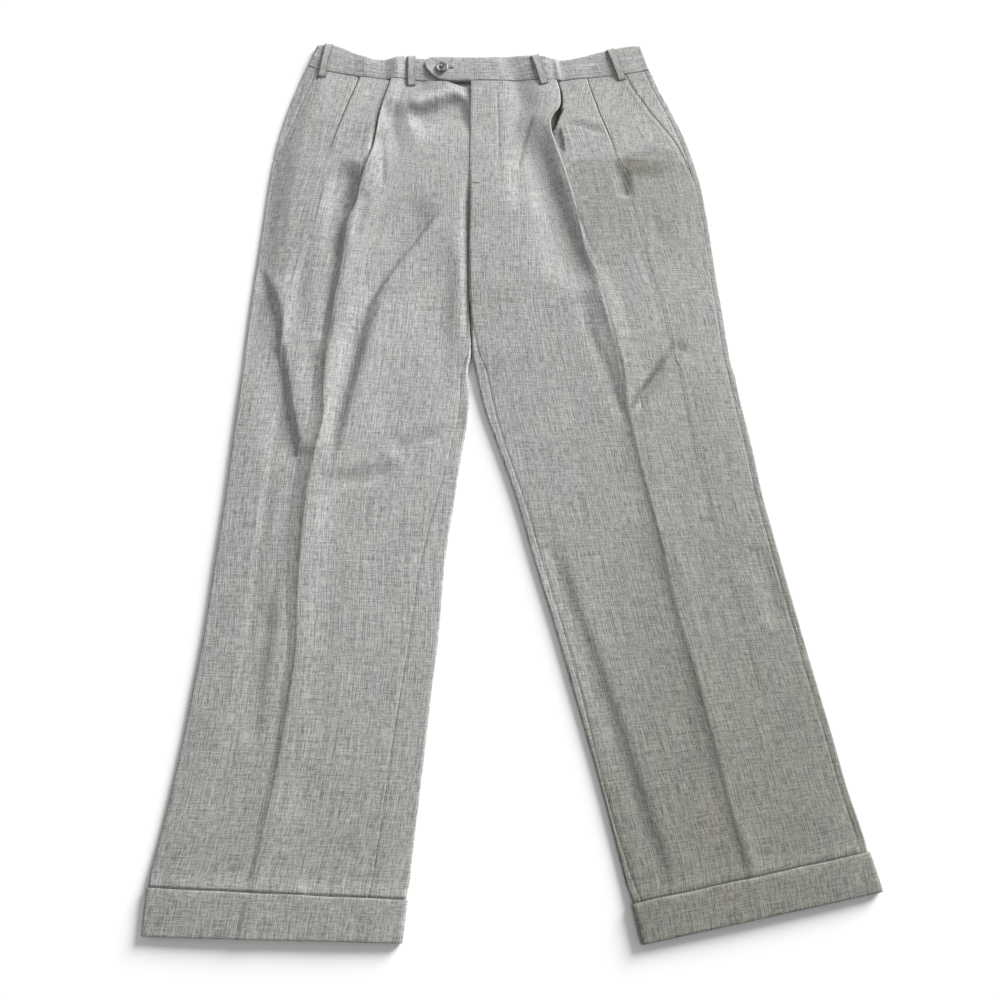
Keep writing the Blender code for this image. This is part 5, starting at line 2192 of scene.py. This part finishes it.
@dataclass
class Studio:
    """A plain pale floor, soft light from beyond the waist and the wearer's left, and the camera.

    The key's turn is from +X towards +Y and its rise from the floor, in degrees.
    """

    floor_grey: float = 0.86
    floor_size: float = 6.0
    dome: float = 0.45
    key: float = 7.2
    key_turn: float = 47.0
    key_rise: float = 19.0
    key_spread: float = 26.0
    key_distance: float = 3.0
    camera_height: float = 1.05
    camera_tilt: float = 16.5
    camera_lens: float = 36.0
    camera_at: tuple[float, float] = (-0.014, -0.386)

    def build(self) -> None:
        """Makes the floor, the lights and the camera."""
        scene = bpy.context.scene
        mesh = bpy.data.meshes.new("studio_floor")
        size = self.floor_size
        corners = [(-size, -size, 0), (size, -size, 0), (size, size, 0), (-size, size, 0)]
        mesh.from_pydata(corners, [], [(0, 1, 2, 3)])
        paint, tree, shader = new_material("pale floor")
        tree.feed(shader, {"Base Color": (self.floor_grey,) * 3 + (1,), "Roughness": 0.9})
        mesh.materials.append(paint)
        in_scene("studio_floor", mesh)

        world = scene.world or bpy.data.worlds.new("World")
        scene.world = world
        world.use_nodes = True
        sky = world.node_tree.nodes["Background"]
        sky.inputs[0].default_value = (1.0, 1.0, 1.0, 1)
        sky.inputs[1].default_value = self.dome
        window = bpy.data.lights.new("key", "SUN")
        window.energy = self.key
        window.angle = math.radians(self.key_spread)
        lamp = in_scene("key", window)
        turn, rise = math.radians(self.key_turn), math.radians(self.key_rise)
        level = math.cos(rise)
        towards = Vector((math.cos(turn) * level, math.sin(turn) * level, math.sin(rise)))
        lamp.location = towards * self.key_distance
        lamp.rotation_euler = towards.to_track_quat("Z", "Y").to_euler()

        lens = bpy.data.cameras.new("camera")
        lens.sensor_width = 36.0
        lens.lens = self.camera_lens
        lens.clip_start = 0.01
        camera = in_scene("camera", lens)
        camera.location = (*self.camera_at, self.camera_height)
        camera.rotation_euler = (math.radians(self.camera_tilt), 0, 0)
        scene.camera = camera
        scene.view_settings.view_transform = "Standard"


@dataclass
class Trousers:
    """The whole pair."""

    finishes: Finishes
    wardrobe: Wardrobe
    sewing: Sewing

    def build(self) -> None:
        """Makes every piece in order, from below to above."""
        wardrobe, finishes = self.wardrobe, self.finishes
        LegCloth(RIGHT, finishes).build(wardrobe)
        Fly(finishes).build(wardrobe, self.sewing)
        LegCloth(LEFT, finishes).build(wardrobe)
        Waistband(RIGHT, BAND_RIGHT, finishes, Cut(430, 38)).build(wardrobe)
        Waistband(LEFT, BAND_LEFT, finishes, Cut(500, 38)).build(wardrobe)
        edges: Lines = []
        for number, (top_x, top_y, foot_x, foot_y) in enumerate(BELT_LOOPS, 1):
            loop = BeltLoop(number, (top_x, top_y), (foot_x, foot_y), finishes)
            edges += loop.build(wardrobe)
        self.sew(edges)
        button = WaistButton(finishes)
        seat = button.lift + max(
            wardrobe.ground.height(button.centre[0] + dx, button.centre[1] + dy)
            for dx in (-4, 0, 4)
            for dy in (-4, 0, 4)
        )
        button.build(wardrobe, seat)
        self.sewing_on(button, seat)

    def sewing_on(self, button: WaistButton, seat: float) -> None:
        """Crosses the thread through the button's holes.

        Args:
            button: The button.
            seat: Height of its back, in mm.
        """
        x, y = button.centre
        reach, level = button.pitch * 1.15, seat + button.height - 0.75
        lines = []
        for sign in (1, -1):
            arch = [
                (x + sign * reach * share, y + reach * share, level + 0.35 * (1 - share**2))
                for share in np.linspace(-1, 1, 9)
            ]
            lines.append([Vector(point) * MM for point in arch])
        strand = Stitch(0.3, 0.6, 0.55, 0.5)
        thread = self.sewing.run("button_thread", lines, strand, self.finishes.thread)
        self.wardrobe.trim(thread, "grey_wool")

    def sew(self, loop_shade_stitch_lines: Lines) -> None:
        """Sews the visible stitching.

        Args:
            loop_shade_stitch_lines: The lines of stitching on the belt loops, whose dark thread
                also paints shade.
        """
        ground = self.wardrobe.ground
        pockets = []
        for shape, last in ((RIGHT, 3.2), (LEFT, 3.7)):
            at = np.linspace(0.1, last, 60)[:, None]
            arc = shape.row_value("pocket", at) + POCKET_STITCH_IN
            place, _ = shape.over_side(at, arc, inner=False)
            x, y = shape.plan(at, place)
            pockets.append(ground.lay(zip(x[:, 0], y[:, 0]), THREAD_LIFT))
        fly = ground.lay(smooth_path(FLY_STITCHES, 12), THREAD_LIFT)
        bars = [ground.lay(smooth_path(bar, 4), THREAD_LIFT) for bar in BAR_TACKS]
        pick = Stitch(2.6, 2.1, 0.42, 0.34, seed=3)
        for name, lines, stitch in (
            ("loop_stitching_and_shade", loop_shade_stitch_lines, Stitch(1.5, 1.4, 0.5, 0.4, seed=7)),
            ("pocket_stitching", pockets, pick),
            ("fly_stitching", [fly], pick),
            ("bar_tacks", bars, Stitch(0.55, 2.4, 0.5, 0.45, turn=90, seed=9)),
        ):
            piece = self.sewing.run(name, lines, stitch, self.finishes.thread)
            self.wardrobe.trim(piece, "grey_wool")


def main() -> None:
    """Builds the trousers and the studio."""
    logging.basicConfig(level=logging.INFO, format="%(name)s: %(message)s")
    finishes = Finishes()
    trousers = Trousers(finishes, Wardrobe(Ground()), Sewing())
    trousers.build()
    Studio().build()


if __name__ == "__main__":
    main()
